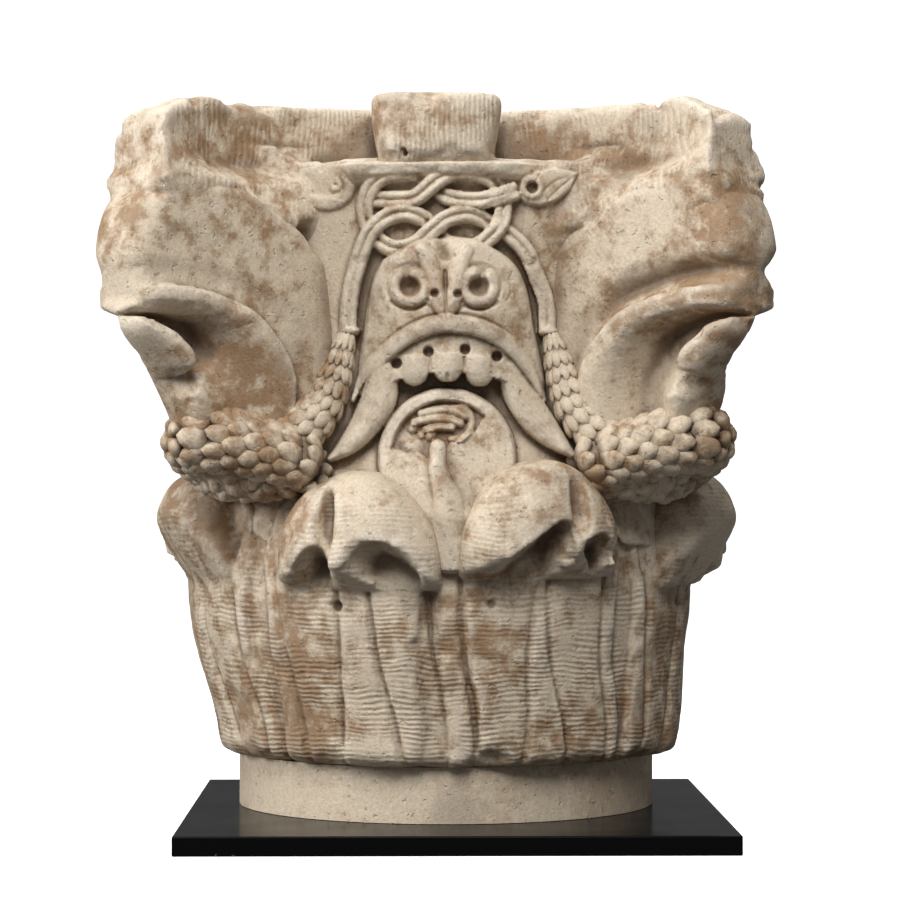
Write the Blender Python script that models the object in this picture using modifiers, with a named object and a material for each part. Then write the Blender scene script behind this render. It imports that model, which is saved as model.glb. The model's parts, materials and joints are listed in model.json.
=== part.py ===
"""Romanesque marble capital with a beast mask, set on a round stone collar and a black base plate.

Sizes are in millimetres and meshes are made in metres, +Z up. The origin is on the base plate's
underside, on the axis of the collar and the bell, and the front with the mask faces -Y. The
carving is drawn on the bell: u runs to the right across a face, h is a height above the
capital's foot, and lift stands out from the bell's skin. Drawn heights are shares of the
capital's own height.
"""

import math

import bmesh
import bpy
from mathutils import Matrix, Vector

MM = 0.001

# Base plate and collar
PLATE_SIDE = 395.0
PLATE_THICKNESS = 14.0
PLATE_EDGE_ROUND = 1.0
PLATE_SHIFT_RIGHT = 5.0
PLATE_SHIFT_FRONT = 30.0
COLLAR_RADIUS = 158.0
COLLAR_HEIGHT = 40.4
FIT_GAP = 0.3

# Bell of the capital
CAPITAL_HEIGHT = 477.0
BELL_FOOT_RADIUS = 176.0
BELL_BELLY_RADIUS = 192.0
BELL_WAIST_RADIUS = 165.0
BELL_LIP_RADIUS = 181.0
FOOT_CHAMFER = 4.0

# Abacus and the boss in the middle of each side
ABACUS_THICKNESS = 76.0
ABACUS_HOLLOW_REACH = 98.0
ABACUS_FOOT_REACH = 132.0
ABACUS_CORNER_REACH = 294.0
ABACUS_CORNER_WIDTH = 53.0
UPPER_SHIFT = -9.0
BOSS_WIDTH = 92.0
BOSS_REACH = 205.0
BOSS_RISE = 1.5

# Corner volutes
VOLUTE_REACH = 320.0
VOLUTE_ROOT_HALF = 50.0
VOLUTE_TIP_HALF = 29.0
VOLUTE_RIM_RADIUS = 9.0

# Garlands, cords, leaves, medallion and stem
GARLAND_RADIUS = 25.0
CORD_RADIUS = 5.6
LEAF_REACH = 229.0
LEAF_WIDTH = 122.0
LEAF_RELIEF = 6.0
MEDALLION_RADIUS = 49.0
STEM_RADIUS = 10.0

# Heights that the carving is drawn at, on a capital of the drawn height
DRAWN_HEIGHT = 477.0
BELLY_H = 125.0
WAIST_H = 277.0
LIP_H = 431.0
LEAF_TOP_H = 212.0
LEAF_BREAK_H = 138.0
ABACUS_LAP = 30.0
ABACUS_FOOT_H = LIP_H - ABACUS_LAP
ABACUS_TOP_H = ABACUS_FOOT_H + ABACUS_THICKNESS

# Fineness of the solids
VOXEL = 3.6
CAPITAL_TRIANGLES = 9200
MASK_SIDE_HALF = 85.0
MASK_SIDE_FRONT = 100.0
MASK_SIDE_CARE = 0.05
BED_SNAP = 0.6
ROUND_STEPS = 96
SIDES = 4

# Depth that raised forms are rooted below the bell's skin
ROOT_DEPTH = 12.0
LEAF_TIP_ROOT_DEPTH = 22.0

CAPITAL_FOOT = PLATE_THICKNESS + COLLAR_HEIGHT + 2 * FIT_GAP


def rise(h):
    """Return the height above the floor of a drawn height on the capital."""
    return CAPITAL_FOOT + h * CAPITAL_HEIGHT / DRAWN_HEIGHT


def ease(start, end, share):
    """Return the value part way from start to end, level at both ends."""
    share = min(max(share, 0.0), 1.0)
    return start + (end - start) * share * share * (3.0 - 2.0 * share)


def bell_radius(h):
    """Return the radius of the bell's skin at a drawn height."""
    if h < BELLY_H:
        return ease(BELL_FOOT_RADIUS, BELL_BELLY_RADIUS, h / BELLY_H)
    if h < WAIST_H:
        return ease(BELL_BELLY_RADIUS, BELL_WAIST_RADIUS, (h - BELLY_H) / (WAIST_H - BELLY_H))
    return ease(BELL_WAIST_RADIUS, BELL_LIP_RADIUS, (h - WAIST_H) / (LIP_H - WAIST_H))


def spot(u, reach, h):
    """Return a point in metres, u to the right and reach out to the front from the axis."""
    return Vector((u, -reach, rise(h))) * MM


def skin(u, h, lift=0.0):
    """Return the point of the front face at u and h that stands out from the bell by lift."""
    radius = bell_radius(h) + lift
    return spot(u, math.sqrt(max(radius * radius - u * u, 1.0)), h)


def corner(p, q, h):
    """Return a point at the front left corner, p out along its diagonal and q to the front."""
    return spot((q - p) * math.sqrt(0.5), (p + q) * math.sqrt(0.5), h)


def face_turn(face):
    """Return the turn about the axis that carries the front face's carving to another face."""
    return Matrix.Rotation(face * math.pi / 2, 4, "Z")


def upper_turn(face):
    """Return the turn for the abacus, bosses and volutes, which stand off the bell's axis."""
    return Matrix.Translation((UPPER_SHIFT * MM, 0.0, 0.0)) @ face_turn(face)


def smooth_path(points, steps):
    """Return points along a smooth curve through rows of numbers."""
    ends = [points[0]] + list(points) + [points[-1]]
    path = []
    for i in range(1, len(ends) - 2):
        for step in range(steps):
            t = step / steps
            path.append([
                0.5 * (2 * b + (c - a) * t + (2 * a - 5 * b + 4 * c - d) * t ** 2
                       + (3 * b - a - 3 * c + d) * t ** 3)
                for a, b, c, d in zip(*ends[i - 1:i + 3])])
    path.append(list(points[-1]))
    return path


def add_mesh(target, mesh, turn):
    """Move a mesh into the carving and discard it, with any object that still uses it."""
    mesh.transform(turn)
    target.from_mesh(mesh)
    bpy.data.meshes.remove(mesh)


def add_tube(target, points, turn):
    """Add a round tube through points given as (place, radius)."""
    curve = bpy.data.curves.new("tube", "CURVE")
    curve.dimensions = "3D"
    curve.bevel_depth = MM
    curve.bevel_resolution = 2
    curve.use_fill_caps = True
    path = smooth_path([(*place, radius) for place, radius in points], 3)
    spline = curve.splines.new("POLY")
    spline.points.add(len(path) - 1)
    for point, (x, y, z, radius) in zip(spline.points, path):
        point.co = (x, y, z, 1.0)
        point.radius = max(radius, 0.5)
    tube = bpy.data.objects.new("tube", curve)
    bpy.context.scene.collection.objects.link(tube)
    evaluated = tube.evaluated_get(bpy.context.evaluated_depsgraph_get())
    mesh = bpy.data.meshes.new_from_object(evaluated)
    add_mesh(target, mesh, turn)
    bpy.data.objects.remove(tube)
    bpy.data.curves.remove(curve)


def add_ball(target, centre, size, turn, tilt=Matrix()):
    """Add an ellipsoid with its half sizes across, outwards and upwards."""
    shape = Matrix.Diagonal((size[0] * MM, size[1] * MM, size[2] * MM, 1.0))
    matrix = turn @ Matrix.Translation(centre) @ tilt @ shape
    bmesh.ops.create_uvsphere(target, u_segments=24, v_segments=14, radius=1.0, matrix=matrix)


def add_loft(target, rings, turn=Matrix()):
    """Add a closed skin over rings that have the same number of points."""
    rows = [[target.verts.new(turn @ point) for point in ring] for ring in rings]
    count = len(rows[0])
    for lower, upper in zip(rows, rows[1:]):
        for i in range(count):
            j = (i + 1) % count
            target.faces.new((lower[i], lower[j], upper[j], upper[i]))
    target.faces.new(reversed(rows[0]))
    target.faces.new(rows[-1])


def add_ring(target, u, h, lift, radius, thickness, turn):
    """Add a ring that lies against the bell."""
    points = []
    for step in range(13):
        angle = math.radians(30 * step)
        place = skin(u + radius * math.cos(angle), h + radius * math.sin(angle), lift)
        points.append((place, thickness))
    add_tube(target, points, turn)


def add_bell(target):
    """Add the bell, turned from its profile between the foot and the lip."""
    lip_round = 6.0
    steps = 20
    profile = [(0.0, 0.0), (bell_radius(0.0) - FOOT_CHAMFER, 0.0)]
    for i in range(steps + 1):
        h = FOOT_CHAMFER + (LIP_H - FOOT_CHAMFER) * i / steps
        profile.append((bell_radius(h), h))
    profile += [(bell_radius(LIP_H) - lip_round, LIP_H + lip_round), (0.0, LIP_H + lip_round)]
    mesh = bpy.data.meshes.new("bell")
    edges = [(i, i + 1) for i in range(len(profile) - 1)]
    mesh.from_pydata([spot(radius, 0.0, h) for radius, h in profile], edges, [])
    bell = bpy.data.objects.new("bell", mesh)
    bpy.context.scene.collection.objects.link(bell)
    turned = bell.modifiers.new("Turn", "SCREW")
    turned.steps = ROUND_STEPS
    turned.render_steps = ROUND_STEPS
    turned.use_merge_vertices = True
    turned.merge_threshold = 0.0001
    bake(bell)
    add_mesh(target, bell.data, Matrix())


def abacus_outline(corner_reach, hollow_reach):
    """Return the plan of the abacus: four sides hollowed as arcs, between four cut corners."""
    steps = 12
    half = ABACUS_CORNER_WIDTH / 2
    end_u = (corner_reach - half) * math.sqrt(0.5)
    end_w = (corner_reach + half) * math.sqrt(0.5)
    depth = end_w - hollow_reach
    radius = (end_u * end_u + depth * depth) / (2.0 * depth)
    spread = math.asin(end_u / radius)
    outline = []
    for face in range(SIDES):
        for i in range(steps + 1):
            angle = spread * (2.0 * i / steps - 1.0)
            w = hollow_reach + radius * (1.0 - math.cos(angle))
            outline.append(face_turn(face) @ spot(radius * math.sin(angle), w, 0.0))
    return outline


def add_abacus(target):
    """Add the hollow-sided abacus, whose corners run down into the volutes."""
    foot = ABACUS_FOOT_H
    levels = ((foot, ABACUS_CORNER_REACH - 6.0, ABACUS_FOOT_REACH),
              (foot + 12.0, ABACUS_CORNER_REACH, ABACUS_FOOT_REACH - 4.0),
              (foot + 36.0, ABACUS_CORNER_REACH, ABACUS_HOLLOW_REACH),
              (ABACUS_TOP_H - 12.0, ABACUS_CORNER_REACH - 2.0, ABACUS_HOLLOW_REACH),
              (ABACUS_TOP_H, ABACUS_CORNER_REACH - 12.0, ABACUS_HOLLOW_REACH - 2.0))
    rings = []
    for h, corner_reach, hollow_reach in levels:
        lift = Matrix.Translation(spot(0.0, 0.0, h) - spot(0.0, 0.0, 0.0))
        rings.append([lift @ point for point in abacus_outline(corner_reach, hollow_reach)])
    add_loft(target, rings, upper_turn(0))


def add_boss(target, turn):
    """Add the broken boss in the middle of a side of the abacus."""
    half = BOSS_WIDTH / 2
    root = ABACUS_HOLLOW_REACH - 12.0
    top = ABACUS_TOP_H
    levels = ((top - 50.0, 0.92, BOSS_REACH - 14.0), (top - 41.0, 0.94, BOSS_REACH - 4.0),
              (top - 13.0, 1.0, BOSS_REACH), (top - 4.0, 0.97, BOSS_REACH - 4.0),
              (top + BOSS_RISE, 0.80, BOSS_REACH - 14.0))
    rings = []
    for h, width, reach in levels:
        ring = []
        for i in range(13):
            angle = math.pi * i / 12
            u = -half * width * math.cos(angle)
            ring.append(spot(u, root + (reach - root) * math.sin(angle) ** 0.3, h))
        rings.append(ring)
    add_loft(target, rings, turn)


# Side view of a volute: share of its reach, and height
VOLUTE_OUTLINE = (
    (0.535, 314.0), (0.540, 342.0), (0.573, 367.0), (0.625, 389.0), (0.700, 405.0),
    (0.800, 417.0), (0.925, 420.0), (0.968, 403.0), (0.985, 390.0), (1.000, 361.0),
    (0.985, 336.0), (0.970, 326.0), (0.930, 314.0), (0.885, 302.0), (0.837, 286.0),
    (0.800, 267.0), (0.760, 236.0), (0.680, 232.0), (0.600, 250.0), (0.555, 282.0))

# Rim on a volute's side: share of its reach, height, share of the rim's radius
VOLUTE_RIM = ((0.940, 332.0, 1.0), (0.880, 335.0, 1.0), (0.797, 329.0, 0.9),
              (0.705, 308.0, 0.75), (0.653, 286.0, 0.6), (0.632, 258.0, 0.5))

# Broken curl under the rim: share of the volute's reach, height, radius
VOLUTE_CURL = ((0.915, 315.0, 9.0), (0.885, 306.0, 13.0), (0.855, 292.0, 13.0), (0.83, 281.0, 9.0))


def volute_half(share):
    """Return the half thickness of a volute at a share of its reach."""
    root = 0.535
    return ease(VOLUTE_ROOT_HALF, VOLUTE_TIP_HALF, (share - root) / (1.0 - root))


def add_volute(target, hollows, turn):
    """Add a corner volute with a rim and a broken curl on each side, and its side hollows."""
    slices = []
    for across in (-1.0, -0.6, 0.0, 0.6, 1.0):
        bulge = 1.0 - 0.05 * across * across
        slices.append([corner(share * bulge * VOLUTE_REACH, across * volute_half(share), h)
                       for share, h in VOLUTE_OUTLINE])
    add_loft(target, slices, turn)
    for side in (-1.0, 1.0):
        rim = []
        for share, h, width in VOLUTE_RIM:
            place = corner(share * VOLUTE_REACH, side * (volute_half(share) - 3.0), h)
            rim.append((place, VOLUTE_RIM_RADIUS * width))
        add_tube(target, rim, turn)
        curl = [(corner(share * VOLUTE_REACH, side * 14.0, h), radius)
                for share, h, radius in VOLUTE_CURL]
        add_tube(target, curl, turn)
        middle = 0.80
        centre = corner(middle * VOLUTE_REACH, side * (volute_half(middle) + 7.0), 292.0)
        along = Matrix.Rotation(math.radians(45.0), 4, "Z")
        downward = Matrix.Rotation(math.radians(30.0), 4, "Y")
        add_ball(hollows, centre, (45.0, 21.0, 27.0), turn, along @ downward)


# Middle line of a garland from a cord's collar to the corner: u, height, lift, share of radius
GARLAND_LINE = ((71.0, 310.0, 12.0, 0.30), (74.0, 288.0, 15.0, 0.44), (82.0, 260.0, 20.0, 0.62),
                (95.0, 242.0, 26.0, 0.80), (112.0, 225.0, 34.0, 0.92), (132.0, 214.0, 45.0, 1.0),
                (152.0, 212.0, 57.0, 1.0), (171.0, 217.0, 69.0, 0.96))


def add_garland(target, turn):
    """Add the garland that hangs round the front left corner, between two faces' cords."""
    front = [(skin(-u, h, lift), GARLAND_RADIUS * share) for u, h, lift, share in GARLAND_LINE]
    middle = (spot(-183.0, 183.0, 226.0), GARLAND_RADIUS * 0.92)
    side = [(Vector((place.y, place.x, place.z)), radius) for place, radius in reversed(front)]
    add_tube(target, front + [middle] + side, turn)


# Drooping tip of a leaf: height, share of the leaf's width, distance short of its full reach
LEAF_TIP = ((138.0, 1.0, 10.0), (143.0, 1.0, 3.0), (152.0, 0.99, 0.0), (166.0, 0.94, 0.0),
            (180.0, 0.83, 4.0), (191.0, 0.70, 11.0), (200.0, 0.53, 20.0), (208.0, 0.30, 32.0),
            (213.0, 0.10, 42.0))


def add_leaf(target, hollows, side, raised, turn):
    """Add a leaf of the lower row, with a drooping tip that is broken off below."""
    middle = side * LEAF_WIDTH * 0.57
    half = LEAF_WIDTH / 2
    body = []
    for h, narrow in ((0.0, 0.82), (40.0, 0.87), (80.0, 0.93), (120.0, 0.98), (150.0, 0.97),
                      (180.0, 0.80), (LEAF_TOP_H - 8.0, 0.45)):
        ring = []
        for share in (-1.0, -0.93, -0.5, -0.08, 0.0, 0.08, 0.5, 0.93, 1.0):
            relief = 0.0 if share in (-1.0, 0.0, 1.0) else LEAF_RELIEF
            ring.append(skin(middle + share * half * narrow, h, relief))
        for share in (1.0, 0.0, -1.0):
            ring.append(skin(middle + share * half * narrow, h, -ROOT_DEPTH))
        body.append(ring)
    add_loft(target, body, turn)

    aim = turn @ Matrix.Rotation(math.asin(middle / (LEAF_REACH - 20.0)), 4, "Z")
    rings = []
    for h, width, droop in LEAF_TIP:
        edge = bell_radius(h) + 2.0
        reach = LEAF_REACH - droop
        ring = []
        for i in range(13):
            share = i / 6.0 - 1.0
            out = edge + max(reach - edge, 1.0) * (1.0 - share * share) ** 0.6
            ring.append(spot(share * half * width, out, h + raised))
        for share in (1.0, -1.0):
            ring.append(spot(share * half * width, edge - LEAF_TIP_ROOT_DEPTH, h + raised))
        rings.append(ring)
    add_loft(target, rings, aim)
    for share in (-1.0, 1.0):
        pocket = spot(share * 26.0, LEAF_REACH - 20.0, LEAF_BREAK_H + raised)
        add_ball(hollows, pocket, (19.0, 25.0, 19.0), aim)
    groove = spot(0.0, LEAF_REACH + 2.0, LEAF_BREAK_H + 34.0 + raised)
    add_ball(hollows, groove, (5.5, 14.0, 30.0), aim, Matrix.Rotation(math.radians(-12.0), 4, "X"))


def add_centre_rib(target, turn):
    """Add the stem that rises between the two leaves of a face, in front of the medallion."""
    stem = [(-8.0, 226.0, 22.0, 0.7), (-7.0, 214.0, 22.0, 0.85), (-4.0, 201.0, 21.0, 0.9),
            (0.0, 188.0, 20.0, 1.0), (0.0, 175.0, 18.0, 1.2), (0.0, 152.0, 10.0, 1.0),
            (2.0, 125.0, 1.0, 1.0), (5.0, 60.0, 0.0, 1.0), (6.0, 6.0, 0.0, 1.0)]
    add_tube(target, [(skin(u, h, lift), STEM_RADIUS * share) for u, h, lift, share in stem], turn)


def add_medallion(target, fist, turn):
    """Add the round medallion under the mask, with its rim and the fist on the front one."""
    u_middle = -2.0
    h_middle = 222.0
    rings = []
    for lift, size in ((-6.0, 1.0), (12.0, 1.0), (15.0, 0.96)):
        ring = []
        for i in range(32):
            angle = math.tau * i / 32
            u = u_middle + MEDALLION_RADIUS * size * math.cos(angle)
            ring.append(skin(u, h_middle + MEDALLION_RADIUS * size * math.sin(angle), lift))
        rings.append(ring)
    add_loft(target, rings, turn)
    rim = []
    for i in range(17):
        angle = math.tau * i / 16
        u = u_middle + (MEDALLION_RADIUS - 5.0) * math.cos(angle)
        h = h_middle + (MEDALLION_RADIUS - 5.0) * math.sin(angle)
        rim.append((skin(u, h, 14.0), 5.5))
    add_tube(target, rim, turn)
    if fist:
        add_ball(target, skin(-8.0, 246.0, 18.0), (19.0, 9.0, 10.0), turn)


def add_mask(target, hollows, carved, turn):
    """Add the beast mask: its dome, eyes, nose, lip band and, where carved, teeth and fangs."""
    levels = ((373.0, 22.0, 8.0), (366.0, 36.0, 13.0), (354.0, 48.0, 18.0), (338.0, 55.0, 23.0),
              (314.0, 60.0, 27.0), (300.0, 62.0, 27.0), (288.0, 58.0, 24.0))
    rings = []
    for h, half, lift in reversed(levels):
        ring = []
        for i in range(11):
            share = 0.2 * i - 1.0
            ring.append(skin(share * half, h, 7.0 + (lift - 7.0) * (1.0 - share * share)))
        ring += [skin(share * half, h, -ROOT_DEPTH) for share in (1.0, 0.0, -1.0)]
        rings.append(ring)
    add_loft(target, rings, turn)

    for u in (-28.0, 20.0):
        add_ring(target, u, 340.0, 22.0, 10.0, 4.0, turn)
        add_ball(hollows, skin(u, 340.0, 27.0), (6.3, 10.0, 6.3), turn)
    for side, foot in ((-1.0, -5.0), (1.0, 1.0)):
        nose = [(side * 16.0 - 3.0, 363.0, 20.0), (side * 8.0 - 3.0, 352.0, 26.0),
                (foot + side * 2.0, 336.0, 29.0), (foot, 321.0, 28.0)]
        add_tube(target, [(skin(u, h, lift), 5.0) for u, h, lift in nose], turn)

    lip = [(-63.0, 272.0, 12.0), (-49.0, 296.0, 20.0), (-28.0, 310.0, 26.0), (-1.0, 315.0, 29.0),
           (25.0, 310.0, 26.0), (46.0, 298.0, 20.0), (61.0, 282.0, 13.0), (69.0, 268.0, 8.0)]
    add_tube(target, [(skin(u, h, lift), 6.5) for u, h, lift in lip], turn)
    if not carved:
        return
    for u, h in ((-25.0, 283.0), (1.5, 285.0), (21.0, 283.0)):
        add_ball(target, skin(u, h, 12.0), (10.5, 9.0, 14.0), turn)
    fangs = (((-48.0, 282.0, 14.0, 10.0), (-56.0, 261.0, 16.0, 12.0), (-67.0, 240.0, 16.0, 9.0),
              (-83.0, 221.0, 14.0, 3.0)),
             ((43.0, 284.0, 14.0, 9.0), (51.0, 265.0, 16.0, 12.0), (66.0, 244.0, 16.0, 10.0),
              (83.0, 228.0, 16.0, 4.0)))
    for fang in fangs:
        add_tube(target, [(skin(u, h, lift), radius) for u, h, lift, radius in fang], turn)


# The two cords that are knotted above the front mask: u, height, lift over or under a crossing
KNOT_TO_RIGHT = (
    (46, 409, 8), (31, 404, 8), (17, 402, 4), (1, 404, 3), (-6, 408, 0), (-16, 416, 0),
    (-24, 421, 4), (-35, 422, 5), (-46, 420, 5), (-56, 411, 4), (-60, 400, 3), (-58, 387, 0),
    (-52, 377, 3), (-43, 370, 4), (-33, 369, 4), (-24, 372, 5), (-16, 378, 8), (-9, 384, 8),
    (-3, 389, 5), (5, 392, 4), (13, 393, 4), (21, 391, 2), (28, 387, 0), (38, 382, 1),
    (47, 375, 4), (55, 366, 6), (62, 350, 8), (69, 332, 10), (70, 311, 12))
KNOT_TO_LEFT = (
    (-54, 404, 0), (-41, 403, 3), (-28, 403, 5), (-21, 406, 7), (-13, 413, 8), (-6, 418, 7),
    (3, 421, 5), (13, 422, 5), (24, 420, 4), (32, 415, 3), (37, 407, 0), (38, 397, 4),
    (36, 387, 8), (31, 379, 7), (21, 371, 5), (10, 368, 4), (1, 370, 3), (-6, 377, 0),
    (-13, 386, 0), (-23, 392, 4), (-33, 394, 5), (-44, 391, 6), (-53, 384, 8), (-59, 375, 8),
    (-66, 355, 8), (-71, 332, 10), (-72, 311, 12))
# The plainer crossed cord of the other faces
CROSSED_CORD = ((-46, 418, 0), (-20, 412, 4), (0, 402, 5), (24, 390, 4), (45, 374, 6),
                (60, 354, 8), (69, 332, 10), (71, 311, 12))


def add_cords(target, knotted, turn):
    """Add the cords above a mask and the collars where their garlands begin."""
    routes = (KNOT_TO_RIGHT, KNOT_TO_LEFT)
    if not knotted:
        routes = (CROSSED_CORD, tuple((-u, h, lift) for u, h, lift in CROSSED_CORD))
    for route in routes:
        add_tube(target, [(skin(u, h, lift), CORD_RADIUS) for u, h, lift in route], turn)
        u, h, lift = route[-1]
        add_ball(target, skin(u, h, lift), (9.0, 9.0, 6.0), turn)


def add_curl(target, side, bird, turn):
    """Add the small curl, or the bird's head, in the panel beside the knot."""
    if bird:
        add_ring(target, 58.5, 412.0, 3.0, 6.5, 3.0, turn)
        add_ball(target, skin(77.0, 416.0, 0.0), (17.0, 8.0, 9.0), turn)
        return
    arc = [(side * 104.0, 420.0), (side * 96.0, 409.0), (side * 84.0, 403.0),
           (side * 73.0, 408.0), (side * 69.0, 419.0)]
    add_tube(target, [(skin(u, h, 1.0), 4.5) for u, h in arc], turn)


def mesh_object(name, work, collection):
    """Make an object of a bmesh, in a collection."""
    mesh = bpy.data.meshes.new(name)
    bmesh.ops.recalc_face_normals(work, faces=work.faces)
    work.to_mesh(mesh)
    work.free()
    item = bpy.data.objects.new(name, mesh)
    collection.objects.link(item)
    return item


def bake(item):
    """Replace an object's mesh by the result of its modifiers."""
    evaluated = item.evaluated_get(bpy.context.evaluated_depsgraph_get())
    mesh = bpy.data.meshes.new_from_object(evaluated)
    item.modifiers.clear()
    item.data = mesh


def fuse(item):
    """Fuse an object's overlapping bodies into one skin."""
    remesh = item.modifiers.new("Fuse", "REMESH")
    remesh.mode = "VOXEL"
    remesh.voxel_size = VOXEL * MM


def flatten_beds(item):
    """Make the foot and the top bed of the capital exactly flat."""
    work = bmesh.new()
    work.from_mesh(item.data)
    foot = CAPITAL_FOOT * MM
    top = rise(ABACUS_TOP_H) * MM
    near = VOXEL * MM * BED_SNAP
    for vert in work.verts:
        if abs(vert.co.z - foot) < near:
            vert.co.z = foot
        if abs(vert.co.z - top) < near:
            vert.co.z = top
    bmesh.ops.dissolve_degenerate(work, dist=0.00001, edges=work.edges)
    bmesh.ops.triangulate(work, faces=work.faces)
    work.to_mesh(item.data)
    work.free()


def build_capital(collection, cutters):
    """Carve the capital: fuse its raised forms, cut its hollows and thin its mesh."""
    raised_forms = bmesh.new()
    hollows = bmesh.new()
    add_bell(raised_forms)
    add_abacus(raised_forms)
    for face in range(SIDES):
        turn = face_turn(face)
        front = face == 0
        add_boss(raised_forms, upper_turn(face))
        add_volute(raised_forms, hollows, upper_turn(face))
        add_garland(raised_forms, turn)
        add_leaf(raised_forms, hollows, -1.0, 0.0, turn)
        add_leaf(raised_forms, hollows, 1.0, 8.0 if front else 0.0, turn)
        add_centre_rib(raised_forms, turn)
        add_medallion(raised_forms, front, turn)
        add_mask(raised_forms, hollows, front, turn)
        add_cords(raised_forms, front, turn)
        add_curl(raised_forms, -1.0, False, turn)
        add_curl(raised_forms, 1.0, front, turn)

    cutter = mesh_object("capital_hollows", hollows, cutters)
    cutter.hide_render = True
    cutter.display_type = "WIRE"
    fuse(cutter)
    bake(cutter)
    capital = mesh_object("capital", raised_forms, collection)
    fuse(capital)
    cut = capital.modifiers.new("Cut hollows", "BOOLEAN")
    cut.operation = "DIFFERENCE"
    cut.solver = "EXACT"
    cut.object = cutter
    fuse(capital)
    bake(capital)
    keep = capital.vertex_groups.new(name="mask side")
    for vert in capital.data.vertices:
        place = vert.co / MM
        in_front = abs(place.x) < MASK_SIDE_HALF and place.y < -MASK_SIDE_FRONT
        if in_front and place.z > rise(LEAF_BREAK_H):
            keep.add([vert.index], MASK_SIDE_CARE, "REPLACE")
    thin = capital.modifiers.new("Thin", "DECIMATE")
    thin.vertex_group = keep.name
    thin.invert_vertex_group = True
    thin.ratio = CAPITAL_TRIANGLES / (2.0 * len(capital.data.polygons))
    bake(capital)
    flatten_beds(capital)
    return capital


def build_collar(collection):
    """Make the round stone collar that the capital stands on."""
    work = bmesh.new()
    middle = Vector((0.0, 0.0, PLATE_THICKNESS + FIT_GAP + COLLAR_HEIGHT / 2)) * MM
    bmesh.ops.create_cone(work, cap_ends=True, segments=ROUND_STEPS, radius1=COLLAR_RADIUS * MM,
                          radius2=COLLAR_RADIUS * MM, depth=COLLAR_HEIGHT * MM,
                          matrix=Matrix.Translation(middle))
    return mesh_object("collar", work, collection)


def build_plate(collection):
    """Make the square base plate."""
    work = bmesh.new()
    size = Matrix.Diagonal((PLATE_SIDE * MM, PLATE_SIDE * MM, PLATE_THICKNESS * MM, 1.0))
    centre = Vector((PLATE_SHIFT_RIGHT, -PLATE_SHIFT_FRONT, PLATE_THICKNESS / 2)) * MM
    middle = Matrix.Translation(centre)
    bmesh.ops.create_cube(work, size=1.0, matrix=middle @ size)
    plate = mesh_object("base_plate", work, collection)
    bevel = plate.modifiers.new("Worn edges", "BEVEL")
    bevel.width = PLATE_EDGE_ROUND * MM
    bevel.segments = 2
    return plate


def finish(item, name, colour, roughness):
    """Give an object its material and smooth shading."""
    material = bpy.data.materials.new(name)
    material.use_nodes = True
    shader = material.node_tree.nodes["Principled BSDF"]
    shader.inputs["Base Color"].default_value = (*colour, 1.0)
    shader.inputs["Roughness"].default_value = roughness
    shader.inputs["Metallic"].default_value = 0.0
    item.data.materials.append(material)
    item.data.shade_smooth()
    item.data.set_sharp_from_angle(angle=math.radians(35.0))


def main():
    """Clear the scene and build the three pieces."""
    for item in list(bpy.data.objects):
        bpy.data.objects.remove(item)
    collection = bpy.data.collections.new("romanesque capital")
    cutters = bpy.data.collections.new("cutters")
    bpy.context.scene.collection.children.link(collection)
    bpy.context.scene.collection.children.link(cutters)
    finish(build_capital(collection, cutters), "aged marble", (0.66, 0.54, 0.40), 0.62)
    finish(build_collar(collection), "beige stone", (0.60, 0.50, 0.38), 0.55)
    finish(build_plate(collection), "black plate", (0.012, 0.012, 0.012), 0.28)


main()
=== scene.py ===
"""Romanesque marble capital: the carved and weathered looks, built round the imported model.

Carving is drawn in millimetres: x to the right, y to the back, h above the capital's foot. The
front with the mask faces -y. Each piece is carved as a block of distances on an even grid, which
openvdb, Blender's own volume module, turns into a mesh.
"""

import json
import math
from collections import namedtuple

import bmesh
import bpy
import numpy as np
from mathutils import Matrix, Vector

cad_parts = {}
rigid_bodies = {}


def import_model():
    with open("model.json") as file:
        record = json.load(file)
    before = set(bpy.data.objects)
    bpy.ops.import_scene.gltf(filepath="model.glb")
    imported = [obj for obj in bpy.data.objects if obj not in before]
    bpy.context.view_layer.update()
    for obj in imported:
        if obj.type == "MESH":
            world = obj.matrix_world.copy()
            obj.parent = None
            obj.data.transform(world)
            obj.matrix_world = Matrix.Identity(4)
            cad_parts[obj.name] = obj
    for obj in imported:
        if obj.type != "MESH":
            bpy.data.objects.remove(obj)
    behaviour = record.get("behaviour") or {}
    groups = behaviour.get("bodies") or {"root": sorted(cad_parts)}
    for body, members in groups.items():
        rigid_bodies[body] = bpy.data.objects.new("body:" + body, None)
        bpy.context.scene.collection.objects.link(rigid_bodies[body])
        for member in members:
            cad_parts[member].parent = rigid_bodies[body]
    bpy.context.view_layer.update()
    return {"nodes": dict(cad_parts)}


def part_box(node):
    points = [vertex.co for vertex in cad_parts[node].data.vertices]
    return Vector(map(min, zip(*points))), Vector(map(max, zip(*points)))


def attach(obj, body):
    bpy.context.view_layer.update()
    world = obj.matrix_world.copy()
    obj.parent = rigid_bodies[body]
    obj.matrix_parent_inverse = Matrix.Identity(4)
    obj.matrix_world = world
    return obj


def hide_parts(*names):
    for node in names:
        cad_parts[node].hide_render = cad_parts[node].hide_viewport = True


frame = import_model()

import openvdb
from bpy.props import FloatProperty, FloatVectorProperty, IntProperty, PointerProperty
from mathutils import Matrix, Vector

bl_info = {
    "name": "Romanesque capital",
    "version": (1, 0, 0),
    "blender": (4, 5, 0),
    "location": "View3D > Sidebar > Capital",
    "description": "Carves and weathers a marble capital with a beast mask",
    "category": "Add Mesh",
}

MM = 0.001
FAR = 99.0
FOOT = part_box("capital")[0].z / MM

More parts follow.
